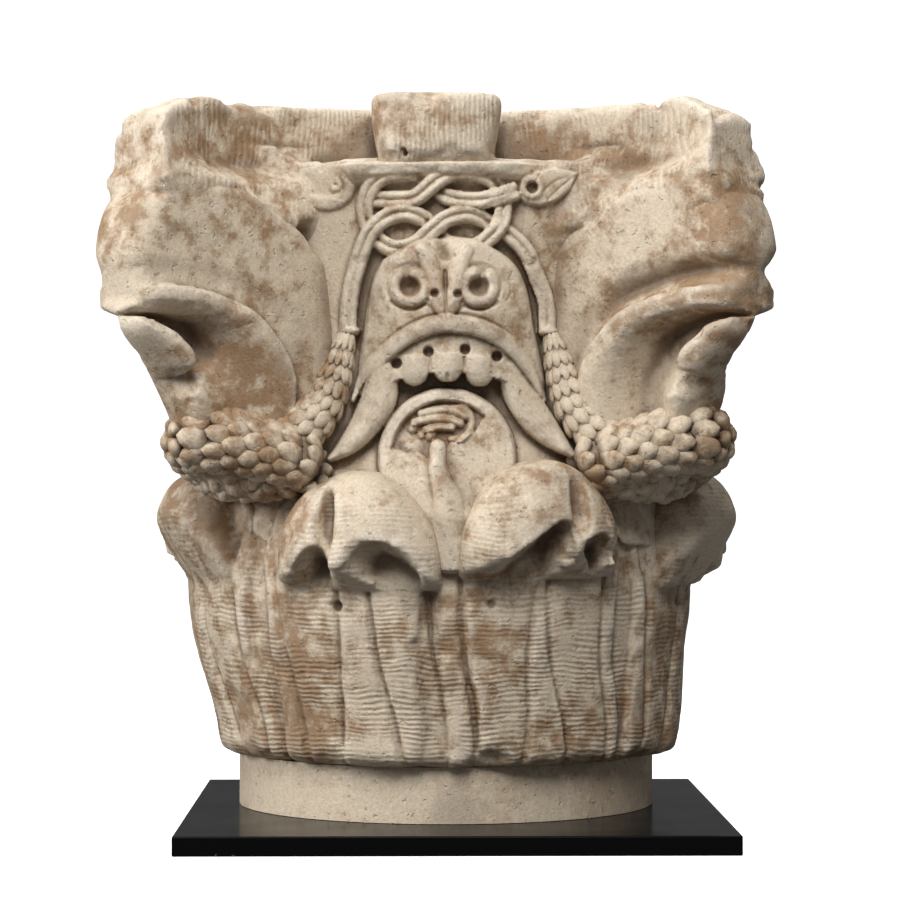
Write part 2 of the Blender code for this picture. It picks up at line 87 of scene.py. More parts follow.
# Bell: radius at its foot, belly, waist and lip, and the heights of the last three
BELL_RADII = (176.0, 192.0, 165.0, 181.0)
BELL_HEIGHTS = (0.0, 125.0, 277.0, 431.0)

# Abacus, boss and volutes, whose middle stands off the bell's axis
UPPER_SHIFT = -9.0
ABACUS_FOOT_H = 401.0
ABACUS_TOP_H = 477.0
ABACUS_CORNER_REACH = 294.0
ABACUS_CORNER_WIDTH = 53.0
BOSS_HALF = 46.0
BOSS_REACH = 205.0
BOSS_BACK = 88.0
BOSS_FOOT_H = 424.0

# Leaves of the lower row: place and turn from a face's middle, half sizes of a tip, and how far
# the leaves' face and the ground between them stand from the bell
LEAF_SIDE = 69.5
LEAF_TURN = 19.4
LEAF_TIP_CENTRE = 190.0
LEAF_TIP_H = 143.0
LEAF_TIP_SIZE = (60.0, 39.0, 69.0)
LEAF_FLOOR = 2.0
LEAF_GROUND = 5.5
# How much higher the front's right tip sits, where a tip is cut off below, and how steeply the
# cut face rises outwards on a broken and on a whole tip
LEAF_RAISED = 8.0
LEAF_CUT_H = 127.0
BROKEN_RISE = 0.45
WHOLE_RISE = 1.3

# Medallion under the mask
MEDALLION_U = -1.7
MEDALLION_H = 221.7
MEDALLION_RADIUS = 49.5

# Wear of the stone: how far an edge or a crevice reaches, how strongly a bend counts as one, and
# the grain and the depth of each kind of wear
EDGE_REACH = 5.0
EDGE_GAIN = 2.4
WAVES = (38.0, 0.9)
RIPPLES = (13.0, 0.45)
BRUISES = (23.0, 4.0)
PITS = (6.5, 2.6)
CHIPS = (17.0, 7.0)

# How far off the surface its shelter is felt, and how strongly it darkens each kind of piece as
# painted shade in enclosed places
SHELTER_OFF = 7.0
SHELTER_SHARES = {"upper": 1.0, "leaf": 1.0, "volute": 1.12, "relief": 0.82}

DIRT_COLOUR = (0.16, 0.10, 0.055)
BLACK = (0.004, 0.004, 0.004)
SCUFF_COLOUR = (0.45, 0.43, 0.40)

# Camera that matches the photograph: lens and sensor in millimetres, distance from the capital,
# turn to the side, and place aside and above the floor in metres
CAMERA_LENS = 118.4
CAMERA_SENSOR = 36.0
CAMERA_SHIFT = 32.0 / 900.0
CAMERA_AWAY = 2.272
CAMERA_YAW = math.radians(0.84)
CAMERA_PLACE = (0.0027, 0.2587)

# Carved blocks by the name of their piece, each with its turn, and materials by name
STONES = {}
FINISHES = {}
Form = namedtuple("Form", "low high distance")


def ease(start, end, share):
    """Return the value part way from start to end, level at both ends."""
    share = np.clip(share, 0.0, 1.0)
    return start + (end - start) * share * share * (3.0 - 2.0 * share)


def bell_radius(h):
    """Return the radius of the bell's skin at a height."""
    foot, belly, waist, lip = BELL_RADII
    _, belly_h, waist_h, lip_h = BELL_HEIGHTS
    low = ease(foot, belly, h / belly_h)
    middle = ease(belly, waist, (h - belly_h) / (waist_h - belly_h))
    high = ease(waist, lip, (h - waist_h) / (lip_h - waist_h))
    return np.where(h < belly_h, low, np.where(h < waist_h, middle, high))


def joined(first, second, blend):
    """Return the distance to two bodies together, with a fillet as wide as blend."""
    near = np.maximum(blend - np.abs(first - second), 0.0) / np.maximum(blend, 0.01)
    return np.minimum(first, second) - near * near * blend * 0.25


def common(first, second, blend):
    """Return the distance to what two bodies share, with its edge rounded by blend."""
    return -joined(-first, -second, blend)


def smooth_path(points, steps):
    """Return points along a smooth curve through rows of numbers."""
    rows = np.array([points[0], *points, points[-1]], dtype=float)
    share = np.linspace(0.0, 1.0, steps, endpoint=False)[:, None]
    path = []
    for i in range(1, len(rows) - 2):
        a, b, c, d = rows[i - 1:i + 3]
        path.append(0.5 * (2 * b + (c - a) * share + (2 * a - 5 * b + 4 * c - d) * share ** 2
                           + (3 * b - a - 3 * c + d) * share ** 3))
    path.append(rows[-1:])
    return np.concatenate(path)


def noise(points, size, seed):
    """Return smooth noise from -1 to 1 at points, with grains of a size in millimetres."""
    side = 24
    lattice = np.random.default_rng(seed).uniform(-1.0, 1.0, (side, side, side)).astype(np.float32)
    place = points / size
    cell = np.floor(place).astype(int)
    part = ease(0.0, 1.0, place - cell)
    low = cell % side
    high = (cell + 1) % side
    total = np.zeros(len(points), dtype=np.float32)
    for step in np.ndindex(2, 2, 2):
        weight = np.prod([part[:, i] if step[i] else 1.0 - part[:, i] for i in range(3)], axis=0)
        i, j, k = [high[:, i] if step[i] else low[:, i] for i in range(3)]
        total += weight * lattice[i, j, k]
    return total


class Stone:
    """A block on an even grid, where each point holds its distance to the carved surface."""

    def __init__(self, low, high, fineness):
        self.low = np.array(low, dtype=float)
        self.fineness = fineness
        count = np.ceil((np.array(high) - self.low) / fineness).astype(int) + 1
        self.field = np.full(count, FAR, dtype=np.float32)

    def window(self, low, high):
        """Return the part of the grid between two corners, and its places along each axis."""
        first = np.floor((np.array(low) - self.low) / self.fineness).astype(int)
        last = np.ceil((np.array(high) - self.low) / self.fineness).astype(int) + 1
        first = np.maximum(first, 0)
        last = np.minimum(last, self.field.shape)
        part = tuple(slice(a, b) for a, b in zip(first, last))
        ticks = [self.low[i] + self.fineness * np.arange(first[i], last[i], dtype=np.float32)
                 for i in range(3)]
        return part, ticks[0][:, None, None], ticks[1][None, :, None], ticks[2][None, None, :]

    def around(self, form, blend):
        """Return the window that a body takes up with its fillet."""
        spare = blend + 2.0 * self.fineness
        return self.window(np.array(form.low) - spare, np.array(form.high) + spare)

    def add(self, form, blend=0.0):
        """Add a body to the block."""
        part, *place = self.around(form, blend)
        self.field[part] = joined(self.field[part], form.distance(*place), blend)

    def cut(self, form, blend=0.0):
        """Cut a body out of the block."""
        part, *place = self.around(form, blend)
        self.field[part] = common(self.field[part], -form.distance(*place), blend)

    def flow(self, low, high, distance, blend):
        """Add a body with a fillet whose width changes from place to place."""
        part, x, y, h = self.window(low, high)
        self.field[part] = joined(self.field[part], distance(x, y, h), blend(x, y, h))

    def weather(self, turn, depth, seed):
        """Wear the surface with waves, bruises, pits and broken edges, alike on all blocks."""
        near = np.abs(self.field) < 9.0
        edge = np.clip(EDGE_GAIN * self.bend()[near] - 0.2, 0.0, 1.0)
        points = self.low + self.fineness * np.argwhere(near)
        points = points @ np.array(turn.to_3x3()).T + np.array(turn.translation)
        points = points.astype(np.float32)

        def spots(kind, number, least):
            size, deep = kind
            return np.clip(noise(points, size, seed + number) - least, 0.0, 1.0) * deep

        waves = WAVES[1] * noise(points, WAVES[0], seed)
        waves = waves + RIPPLES[1] * noise(points, RIPPLES[0], seed + 1)
        broken = noise(points, CHIPS[0], seed + 5) + 0.35 * noise(points, 6.0, seed + 6)
        chips = edge * np.clip(broken + 0.15, 0.0, 1.0) * CHIPS[1]
        self.field[near] += depth * (waves + spots(BRUISES, 2, 0.45) + spots(PITS, 4, 0.5) + chips)

    def skin(self):
        """Return the points and four-cornered faces of the carved surface."""
        limit = 3.0 * self.fineness
        field = np.clip(self.field, -limit, limit)
        for axis in range(3):
            for end in (0, -1):
                border = [slice(None)] * 3
                border[axis] = end
                field[tuple(border)] = limit
        grid = openvdb.FloatGrid(limit)
        grid.copyFromArray(field)
        points, faces = grid.convertToQuads()
        return points * self.fineness + self.low, faces.astype(np.int32)

    def blurred(self, reach):
        """Return the field evened out over a reach in millimetres."""
        half = max(1, round(reach / self.fineness))
        width = 2 * half + 1
        field = np.clip(self.field, -2.0 * reach, 2.0 * reach)
        for axis in (0, 1, 2, 0, 1, 2):
            spread = [(0, 0)] * 3
            spread[axis] = (half + 1, half)
            total = np.moveaxis(np.cumsum(np.pad(field, spread, mode="edge"), axis=axis), axis, 0)
            field = np.moveaxis((total[width:] - total[:-width]) / width, 0, axis)
        return field

    def bend(self):
        """Return how sharply the surface bends: above 0 at its edges, below 0 in its crevices."""
        return (self.blurred(EDGE_REACH) - self.field) / EDGE_REACH

    def read(self, field, points):
        """Return a field's values at points, evened out between the grid's own places."""
        place = (points - self.low) / self.fineness
        cell = np.clip(np.floor(place).astype(int), 0, np.array(field.shape) - 2)
        part = np.clip(place - cell, 0.0, 1.0)
        total = np.zeros(len(points))
        for step in np.ndindex(2, 2, 2):
            weight = np.prod(np.where(step, part, 1.0 - part), axis=1)
            i, j, k = (cell + step).T
            total += weight * field[i, j, k]
        return total


def ball(centre, size, turn=None):
    """Return an ellipsoid with its half sizes along its own axes."""
    centre = np.array(centre, dtype=np.float32)
    size = np.array(size, dtype=np.float32)
    reach = float(size.max())
    axes = np.identity(3) if turn is None else np.array(turn.to_3x3()).T

    def distance(x, y, h):
        x, y, h = x - centre[0], y - centre[1], h - centre[2]
        near = 0.0
        slope = 0.0
        for axis, half in zip(axes, size):
            along = x * axis[0] + y * axis[1] + h * axis[2]
            near = near + (along / half) ** 2
            slope = slope + (along / half ** 2) ** 2
        near = np.sqrt(near)
        return near * (near - 1.0) / np.sqrt(slope + 1e-9)

    return Form(centre - reach, centre + reach, distance)




def outline_distance(outline, u, h):
    """Return the flat distance to a closed outline, less than nothing inside it."""
    outline = np.array(outline, dtype=np.float32)
    nearest = np.full(np.broadcast(u, h).shape, FAR * FAR, dtype=np.float32)
    inside = np.zeros(nearest.shape, dtype=bool)
    for (u0, h0), (u1, h1) in zip(outline, np.roll(outline, -1, axis=0)):
        line_u, line_h = u1 - u0, h1 - h0
        along = ((u - u0) * line_u + (h - h0) * line_h) / max(line_u ** 2 + line_h ** 2, 1e-6)
        along = np.clip(along, 0.0, 1.0)
        gap = (u - u0 - along * line_u) ** 2 + (h - h0 - along * line_h) ** 2
        nearest = np.minimum(nearest, gap)
        crossed = (h0 > h) != (h1 > h)
        if h1 != h0:
            inside ^= crossed & (u < line_u * (h - h0) / line_h + u0)
    return np.where(inside, -1.0, 1.0) * np.sqrt(nearest)


def rounded(outline, steps=5):
    """Return a closed outline with smooth curves between its points."""
    ring = [outline[-1], *outline, outline[0], outline[1]]
    return smooth_path(ring, steps)[steps * 2:-steps * 2]


def round_back(gap, half):
    """Return the height of a half round, from 1 on its middle line to 0 at half its width."""
    share = gap / np.maximum(half, 0.1)
    return np.sqrt(np.clip(1.0 - share * share, 0.0, 1.0))


def shoulder(depth, width):
    """Return a height that rises from 0 to 1 over a width, as a quarter round."""
    share = np.clip(depth / width, 0.0, 1.0)
    return np.sqrt(share * (2.0 - share))


class Relief:
    """A field of heights over the front of the bell, as a carver draws it: u across, h up."""

    def __init__(self, low, high, step, ground):
        self.u = np.arange(low[0], high[0] + step, step, dtype=np.float32)[:, None]
        self.h = np.arange(low[1], high[1] + step, step, dtype=np.float32)[None, :]
        self.lift = np.zeros((self.u.size, self.h.size), dtype=np.float32) + ground

    def along(self, points, steps=6):
        """Return the nearest place on a path of u, h and further values: its distance and them."""
        path = smooth_path(points, steps)
        nearest = np.full(self.lift.shape, FAR, dtype=np.float32)
        values = np.zeros((path.shape[1] - 2, *self.lift.shape), dtype=np.float32)
        for start, end in zip(path, path[1:]):
            line = end[:2] - start[:2]
            away_u, away_h = self.u - start[0], self.h - start[1]
            share = (away_u * line[0] + away_h * line[1]) / max(line @ line, 1e-6)
            share = np.clip(share, 0.0, 1.0)
            gap = np.hypot(away_u - share * line[0], away_h - share * line[1])
            nearer = gap < nearest
            nearest = np.where(nearer, gap, nearest)
            for row, a, b in zip(values, start[2:], end[2:]):
                row[nearer] = (a + (b - a) * share)[nearer]
        return nearest, values

    def raise_to(self, lift, mask=True):
        """Raise the ground to a height where it is lower."""
        self.lift = np.where(mask, np.maximum(self.lift, lift), self.lift)

    def roll(self, points, height, base=None):
        """Raise a round-backed roll along a path of u, h and half width."""
        gap, (half,) = self.along(points)
        ground = self.lift if base is None else base
        self.raise_to(ground + height * round_back(gap, half), gap < half)

    def groove(self, points, width, depth):
        """Cut a round groove along a path of u and h."""
        gap, _ = self.along(points)
        self.lift = self.lift - depth * np.clip(1.0 - (gap / width) ** 2, 0.0, 1.0)

    def oval(self, u, h, size):
        """Return the height of a half ellipsoid that is a unit high."""
        inner = 1.0 - ((self.u - u) / size[0]) ** 2 - ((self.h - h) / size[1]) ** 2
        return np.sqrt(np.clip(inner, 0.0, 1.0))

    def dish(self, u, h, size, depth):
        """Sink an oval dish."""
        self.lift = self.lift - depth * self.oval(u, h, size)

    def drill(self, u, h, radius, depth):
        """Drill a hole with steep sides."""
        gap = np.hypot(self.u - u, self.h - h)
        self.lift = self.lift - depth * np.clip((radius - gap) / 1.2 + 0.5, 0.0, 1.0)

    def knob(self, u, h, size, height):
        """Raise an oval knob on the ground."""
        self.raise_to(self.lift + height * self.oval(u, h, size))

    def plate(self, outline, height, edge):
        """Raise a flat plate inside an outline, with an edge that slopes over a width."""
        gap = outline_distance(outline, self.u, self.h)
        self.raise_to(height * shoulder(-gap, edge), gap < 0.0)

    def read(self, u, h):
        """Return the height at places across and up, between the drawn points."""
        step = self.u[1, 0] - self.u[0, 0]
        i = np.clip((u - self.u[0, 0]) / step, 0.0, self.u.size - 1.001)
        j = np.clip((h - self.h[0, 0]) / step, 0.0, self.h.size - 1.001)
        a, b = i.astype(int), j.astype(int)
        s, t = i - a, j - b
        low = self.lift[a, b] * (1 - s) + self.lift[a + 1, b] * s
        high = self.lift[a, b + 1] * (1 - s) + self.lift[a + 1, b + 1] * s
        return low * (1 - t) + high * t


# Drawing of the mask and the medallion: distance across the face and height, in millimetres, and
# for a roll its half width
MASK_OUTLINE = (
    (-40, 369), (-47, 362), (-56, 343), (-61, 314), (-65, 286), (-66, 272), (-60, 262), (0, 262),
    (62, 260), (69, 272), (66, 292), (61, 314), (56, 340), (48, 357), (33, 369), (14, 377),
    (-20, 377))
LIP_LINE = (
    (-69, 262), (-63, 278), (-50, 292), (-33, 305), (-17, 312.5), (-1, 315.2), (20, 312.5),
    (37, 305), (50, 294), (61, 279), (68, 262))
LEFT_FANG = ((-47, 284, 11), (-50, 262, 13), (-60, 244, 11), (-73, 229, 7), (-85, 220, 2))
RIGHT_FANG = ((43, 286, 9), (50, 267, 12), (61, 250, 12), (74, 236, 9), (88, 223, 3))
# A tooth's middle, its widest height and its lower end
TEETH = ((-25.0, 284.0, 272.0), (-1.3, 286.0, 274.0), (21.3, 284.0, 271.0))
DRILL_HOLES = ((-37.3, 287.6), (-14.7, 295.4), (11.0, 297.1), (33.5, 292.5))
# An eye's middle, its height, and 1 where its ring opens to the left
EYES = ((-27.7, 341.2, -1.0), (20.1, 341.2, 1.0))
NOSE_RIDGES = (
    ((-21, 369, 4.4), (-16.5, 362, 6.2), (-12.5, 352, 6.8), (-10.2, 342, 7.0), (-7.8, 331, 6.0),
     (-5, 321, 3.6)),
    ((13.5, 368, 4.4), (9.0, 361, 6.2), (5.5, 351, 6.8), (4.4, 341, 6.8), (2.6, 331, 5.8),
     (0.3, 321, 3.6)))
JAGGED_BREAK = (
    (-46, 226), (-36, 227), (-30, 224), (-22, 225), (-14, 220), (-6, 224), (0, 231), (8, 233),
    (13, 238), (18, 239), (22, 246), (28, 253), (34, 254), (46, 262), (46, 275), (-60, 275),
    (-60, 226))
# Stem of the hand below the medallion, with its half width and how far it stands out
STEM = (
    (-8, 228, 6, 23), (-8.3, 215, 6.5, 23), (-5, 202, 8, 22), (-1, 190, 11, 21), (-1, 176, 12.5, 19),
    (0, 160, 10.5, 14), (1, 140, 8.5, 9), (3, 120, 8.5, 6))
BIRD_HEAD = (
    (47, 407), (50, 418), (60, 424), (75, 427.5), (93, 425), (87, 412), (76, 403), (64, 399),
    (53, 401))
LEFT_CURL = ((-110, 417, 2), (-102, 408, 4), (-90, 402.5, 5), (-78, 404, 5), (-71, 411, 4.5),
             (-74, 420, 3.5))

# The two cords that are knotted above the front mask: u, height, lift over or under a crossing
KNOT_TO_RIGHT = (
    (46, 409, 8), (31, 404, 8), (17, 402, 4), (1, 404, 3), (-6, 408, 0), (-16, 416, 0),
    (-24, 421, 4), (-35, 422, 5), (-46, 420, 5), (-56, 411, 4), (-60, 400, 3), (-58, 387, 0),
    (-52, 377, 3), (-43, 370, 4), (-33, 369, 4), (-24, 372, 5), (-16, 378, 8), (-9, 384, 8),
    (-3, 389, 5), (5, 392, 4), (13, 393, 4), (21, 391, 2), (28, 387, 0), (38, 382, 1),
    (47, 375, 4), (55, 366, 6), (62, 350, 7), (69, 332, 7), (70, 311, 7))
KNOT_TO_LEFT = (
    (-54, 404, 0), (-41, 403, 3), (-28, 403, 5), (-21, 406, 7), (-13, 413, 8), (-6, 418, 7),
    (3, 421, 5), (13, 422, 5), (24, 420, 4), (32, 415, 3), (37, 407, 0), (38, 397, 4),
    (36, 387, 8), (31, 379, 7), (21, 371, 5), (10, 368, 4), (1, 370, 3), (-6, 377, 0),
    (-13, 386, 0), (-23, 392, 4), (-33, 394, 5), (-44, 391, 6), (-53, 384, 8), (-59, 375, 7),
    (-66, 355, 7), (-71, 332, 7), (-72, 311, 7))
CROSSED_CORD = ((-46, 418, 0), (-20, 412, 4), (0, 402, 5), (24, 390, 4), (45, 374, 6),
                (60, 354, 7), (69, 332, 7), (71, 311, 7))
CORD_STRAND = 3.3


def carve_cord(relief, route, strand=CORD_STRAND):
    """Raise a cord of two round strands that lies over and under others."""
    path = smooth_path(route, 5)
    ahead = np.gradient(path[:, :2], axis=0)
    across = np.stack((-ahead[:, 1], ahead[:, 0]), axis=1)
    across /= np.linalg.norm(across, axis=1)[:, None]
    for side in (-1.0, 1.0):
        line = path.copy()
        line[:, :2] += side * across * strand * 0.94
        gap, (lift,) = relief.along(line, 1)
        relief.raise_to(1.0 + lift + 1.5 * strand * round_back(gap, strand), gap < strand)


def carve_mask(relief, carved):
    """Draw the beast mask: its dome, eyes, nose, lip, palate and, where carved, its teeth."""
    u, h = relief.u, relief.h
    mask_gap = outline_distance(rounded(MASK_OUTLINE), u, h)
    bulge = 1.0 - ((u - 3.0) / 74.0) ** 2
    upright = ease(0.30, 1.0, (388.0 - h) / 70.0)
    dome = (7.0 + 20.0 * np.clip(bulge, 0.0, 1.0) * upright) * shoulder(-mask_gap, 5.0)
    lip_gap, _ = relief.along(LIP_LINE)
    lip_h = np.interp(u[:, 0], [row[0] for row in LIP_LINE], [row[1] for row in LIP_LINE])[:, None]
    relief.raise_to(dome, (mask_gap < 0.0) & (h > lip_h - 4.0))
    for middle, eye_h, _ in EYES:
        relief.dish(middle, eye_h, (17.5, 17.5), 3.2)
    for middle, eye_h, side in EYES:
        ring = []
        for step in range(15):
            angle = math.radians(72.0 - 21.0 * step)
            radius = 10.2 + 0.10 * step
            ring.append((middle - side * radius * math.cos(angle),
                         eye_h + radius * math.sin(angle), 4.6))
        relief.roll(ring, 6.0, dome - 3.0)
        pupil = np.hypot(u - middle, h - eye_h)
        relief.lift = relief.lift - 9.0 * np.clip(1.0 - pupil / 7.5, 0.0, 1.0)
    for ridge in NOSE_RIDGES:
        relief.roll(ridge, 5.2, dome - 1.0)
    relief.groove(((-4.5, 381), (-4, 372), (-3.4, 364)), 6.0, 4.0)
    relief.groove(((-3.2, 352), (-3, 345), (-2.6, 332), (-2.3, 324)), 1.5, 2.6)
    for nostril in ((-10.5, 335.9), (5.5, 335.5)):
        relief.drill(*nostril, 2.7, 6.0)
    relief.groove(((-41, 331), (-33, 326), (-25, 325), (-16, 328), (-9, 321)), 1.7, 1.8)
    relief.groove(((34, 330), (26, 325.5), (18, 325), (10, 327), (4, 321)), 1.7, 1.8)
    relief.groove(((44, 352), (42.5, 345), (43.5, 338), (41, 332)), 0.7, 1.6)

    inner = (h < lip_h) & (mask_gap < 1.0)
    palate = (h > 281.0 - 0.004 * u * u) & inner
    relief.raise_to(dome - 3.5, palate)
    lip_half = ease(6.3, 1.5, (np.abs(u) - 50.0) / 22.0)
    relief.raise_to(np.maximum(dome, 9.0) + 3.6 * round_back(lip_gap, lip_half), lip_gap < lip_half)
    relief.groove([(a, b + 7.0) for a, b in LIP_LINE], 1.5, 2.0)
    if not carved:
        return
    for middle, tooth_h, bottom in TEETH:
        size_h = tooth_h - bottom
        inside = 1.0 - ((u - middle) / 11.0) ** 2 - (np.minimum(h - tooth_h, 0.0) / size_h) ** 2
        tooth = np.sqrt(np.clip(inside, 0.0, 1.0))
        relief.raise_to(dome - 7.0 + 6.5 * tooth, (inside > 0.0) & (h < tooth_h + 9.0))
    relief.groove(((-1.3, 279), (-1.3, 273)), 1.6, 3.0)
    for left, right in ((-13.5, 291.0), (10.2, 292.0)):
        relief.groove(((left, right), (left, 280.0)), 1.3, 3.0)
    for fang in (LEFT_FANG, RIGHT_FANG):
        relief.roll(fang, 11.0, 8.0)
    for hole in DRILL_HOLES:
        relief.drill(*hole, 3.4, 8.0)


def carve_medallion(relief, broken):
    """Draw the medallion, and on the front one its fist and its breaks."""
    u, h = relief.u, relief.h
    gap = np.hypot(u - MEDALLION_U, h - MEDALLION_H) - MEDALLION_RADIUS
    relief.raise_to(15.0 * shoulder(-gap, 3.5), gap < 0.0)
    sunk = gap < -9.0
    if broken:
        sunk = sunk & (outline_distance(JAGGED_BREAK, u, h) < 0.0)
    wall = np.clip((-9.0 - gap) / 2.5, 0.0, 1.0)
    relief.lift = np.where(sunk, relief.lift - 7.0 * wall, relief.lift)
    if not broken:
        return
    base = relief.lift.copy()
    fingers = (((-20, 252, 3.2), (-8, 254.5, 3.8), (4, 254, 3.8), (11, 250, 3.2)),
               ((-25, 246, 3.0), (-12, 248.5, 3.6), (0, 248, 3.6), (8, 245, 3.0)),
               ((-17, 241, 2.6), (-8, 242.5, 3.2), (2, 242, 2.8)))
    for finger in fingers:
        relief.roll(finger, 6.5, base)
    handle = ((2, 256, 2.6), (10, 256, 2.8), (15, 250, 3.0), (15, 241, 3.0), (9, 235, 2.8),
              (1, 234, 2.4))
    relief.roll(handle, 5.0, base)
    for knob in ((-13.0, 236.5, 4.2), (-26.0, 241.5, 3.6), (-20.0, 237.0, 3.0)):
        relief.knob(knob[0], knob[1], (knob[2], knob[2]), 5.0)


def carve_panel(relief, front):
    """Draw one face of the bell between its garlands."""
    carve_medallion(relief, front)
    gap, (half, lift) = relief.along(STEM)
    relief.raise_to(lift - 8.0 + 8.0 * round_back(gap, half), gap < half)
    carve_mask(relief, front)
    if front:
        for hole_u, hole_h in ((-36.1, 412.4), (14.2, 411.3), (-34.0, 380.5), (13.3, 381.0)):
            relief.dish(hole_u, hole_h, (13.0, 6.0), 5.0)
        carve_cord(relief, KNOT_TO_RIGHT)
        carve_cord(relief, KNOT_TO_LEFT)
        relief.plate(BIRD_HEAD, 6.0, 2.0)
        gap = np.hypot(relief.u - 58.6, relief.h - 412.2)
        relief.raise_to(6.0 + 2.5 * round_back(gap - 6.3, 2.4), np.abs(gap - 6.3) < 2.4)
        relief.drill(58.6, 412.2, 3.6, 6.0)
        relief.groove(((67.5, 427.5), (62, 418), (56, 403), (53, 399.7), (53.5, 390), (52, 381)),
                      0.8, 1.6)
        relief.groove(((70, 404), (78, 412), (90, 422)), 0.9, 1.2)
        relief.groove(((66, 409), (74, 416), (84, 421)), 0.9, 1.0)
    else:
        carve_cord(relief, CROSSED_CORD)
        carve_cord(relief, [(-a, b, c * 0.3) for a, b, c in CROSSED_CORD])
        relief.roll([(-a, b, c) for a, b, c in LEFT_CURL], 5.0, relief.lift.copy())
    relief.roll(LEFT_CURL, 5.0, relief.lift.copy())
    for spiral_u in (-81.0,) if front else (-81.0, 81.0):
        relief.knob(spiral_u, 415.0, (5.5, 5.5), 3.5)
        relief.drill(spiral_u, 415.0, 1.6, 3.0)
    flare = ease(0.0, 1.0, (relief.h - 407.0) / 20.0)
    flare = flare * ease(1.0, 0.0, (np.abs(relief.u + 8.0) - 50.0) / 28.0)
    relief.raise_to(17.0 * flare)
    for collar_u in (-71.0, 71.0):
        gap = np.hypot((relief.u - collar_u) / 8.2, (relief.h - 311.5) / 4.2)
        relief.raise_to(14.5 * shoulder(1.0 - gap, 0.7))


def panel_stone(fineness, front):
    """Carve one face's relief as a block that is rooted in the bell."""
    low, high = (-122.0, 136.0), (116.0, 434.0)
    relief = Relief(low, high, 0.5 * fineness + 0.1, 0.7)
    carve_panel(relief, front)
    side = np.minimum(relief.u + 120.0, 112.0 - relief.u)
    top = 432.5 - relief.h
    sink = np.clip(np.minimum(np.minimum(side, top), relief.h - 138.0) / 4.0, 0.0, 1.0)
    relief.lift = relief.lift * sink - 5.0 * (1.0 - sink)
    stone = Stone((-126.0, -238.0, 130.0), (120.0, -80.0, 438.0), fineness)
    root = 9.0

    def distance(x, y, h):
        lift = relief.read(x + 0.0 * h, h + 0.0 * x)
        away = np.hypot(x, y) - bell_radius(h)
        ends = np.maximum(np.maximum(low[0] - x, x - high[0]), np.maximum(low[1] - h, h - high[1]))
        shell = np.maximum((away - lift) * 0.8, -root - away)
        return np.maximum(shell, ends).astype(np.float32)

    stone.add(Form((-126.0, -238.0, 130.0), (120.0, -80.0, 438.0), distance))
    return stone


# Side view of a volute: distance out along the corner's diagonal, and height
VOLUTE_OUTLINE = (
    (150, 327), (152, 347), (163, 363), (178, 377), (196, 390), (214, 401), (236, 412), (262, 421),
    (282, 424), (297, 410), (311, 393), (318, 366), (315, 344), (313, 332), (315, 319), (307, 304),
    (290, 288), (273, 270), (260, 246), (249, 224), (225, 206), (190, 208), (165, 236), (155, 285),
    (150, 308))
# Inner leaf of a volute, whose upper edge is the rim
VOLUTE_RIM_LINE = (
    (322, 340), (308, 340), (292, 340.5), (274, 339), (258, 336), (244, 331.5), (232, 327),
    (222, 321), (212, 311), (203, 301), (197, 291), (193, 281), (190, 268), (189, 250), (190, 225))
# Broken scroll that is left under the rim
VOLUTE_STUB = ((334, 318), (312, 319), (290, 314), (274, 303), (266, 290), (270, 279), (284, 277),
               (300, 287), (318, 296))
# Half thickness of a volute: at its root, at its tip, and the least that its carving leaves
VOLUTE_ROOT_HALF = 50.0
VOLUTE_TIP_HALF = 29.0
VOLUTE_WEB = 9.0
VOLUTE_LOW = (136.0, -72.0, 196.0)
VOLUTE_HIGH = (334.0, 72.0, 434.0)


def volute_half(p):
    """Return the half thickness of a volute along its corner's diagonal."""
    return ease(VOLUTE_ROOT_HALF, VOLUTE_TIP_HALF, (p - 171.0) / 149.0)


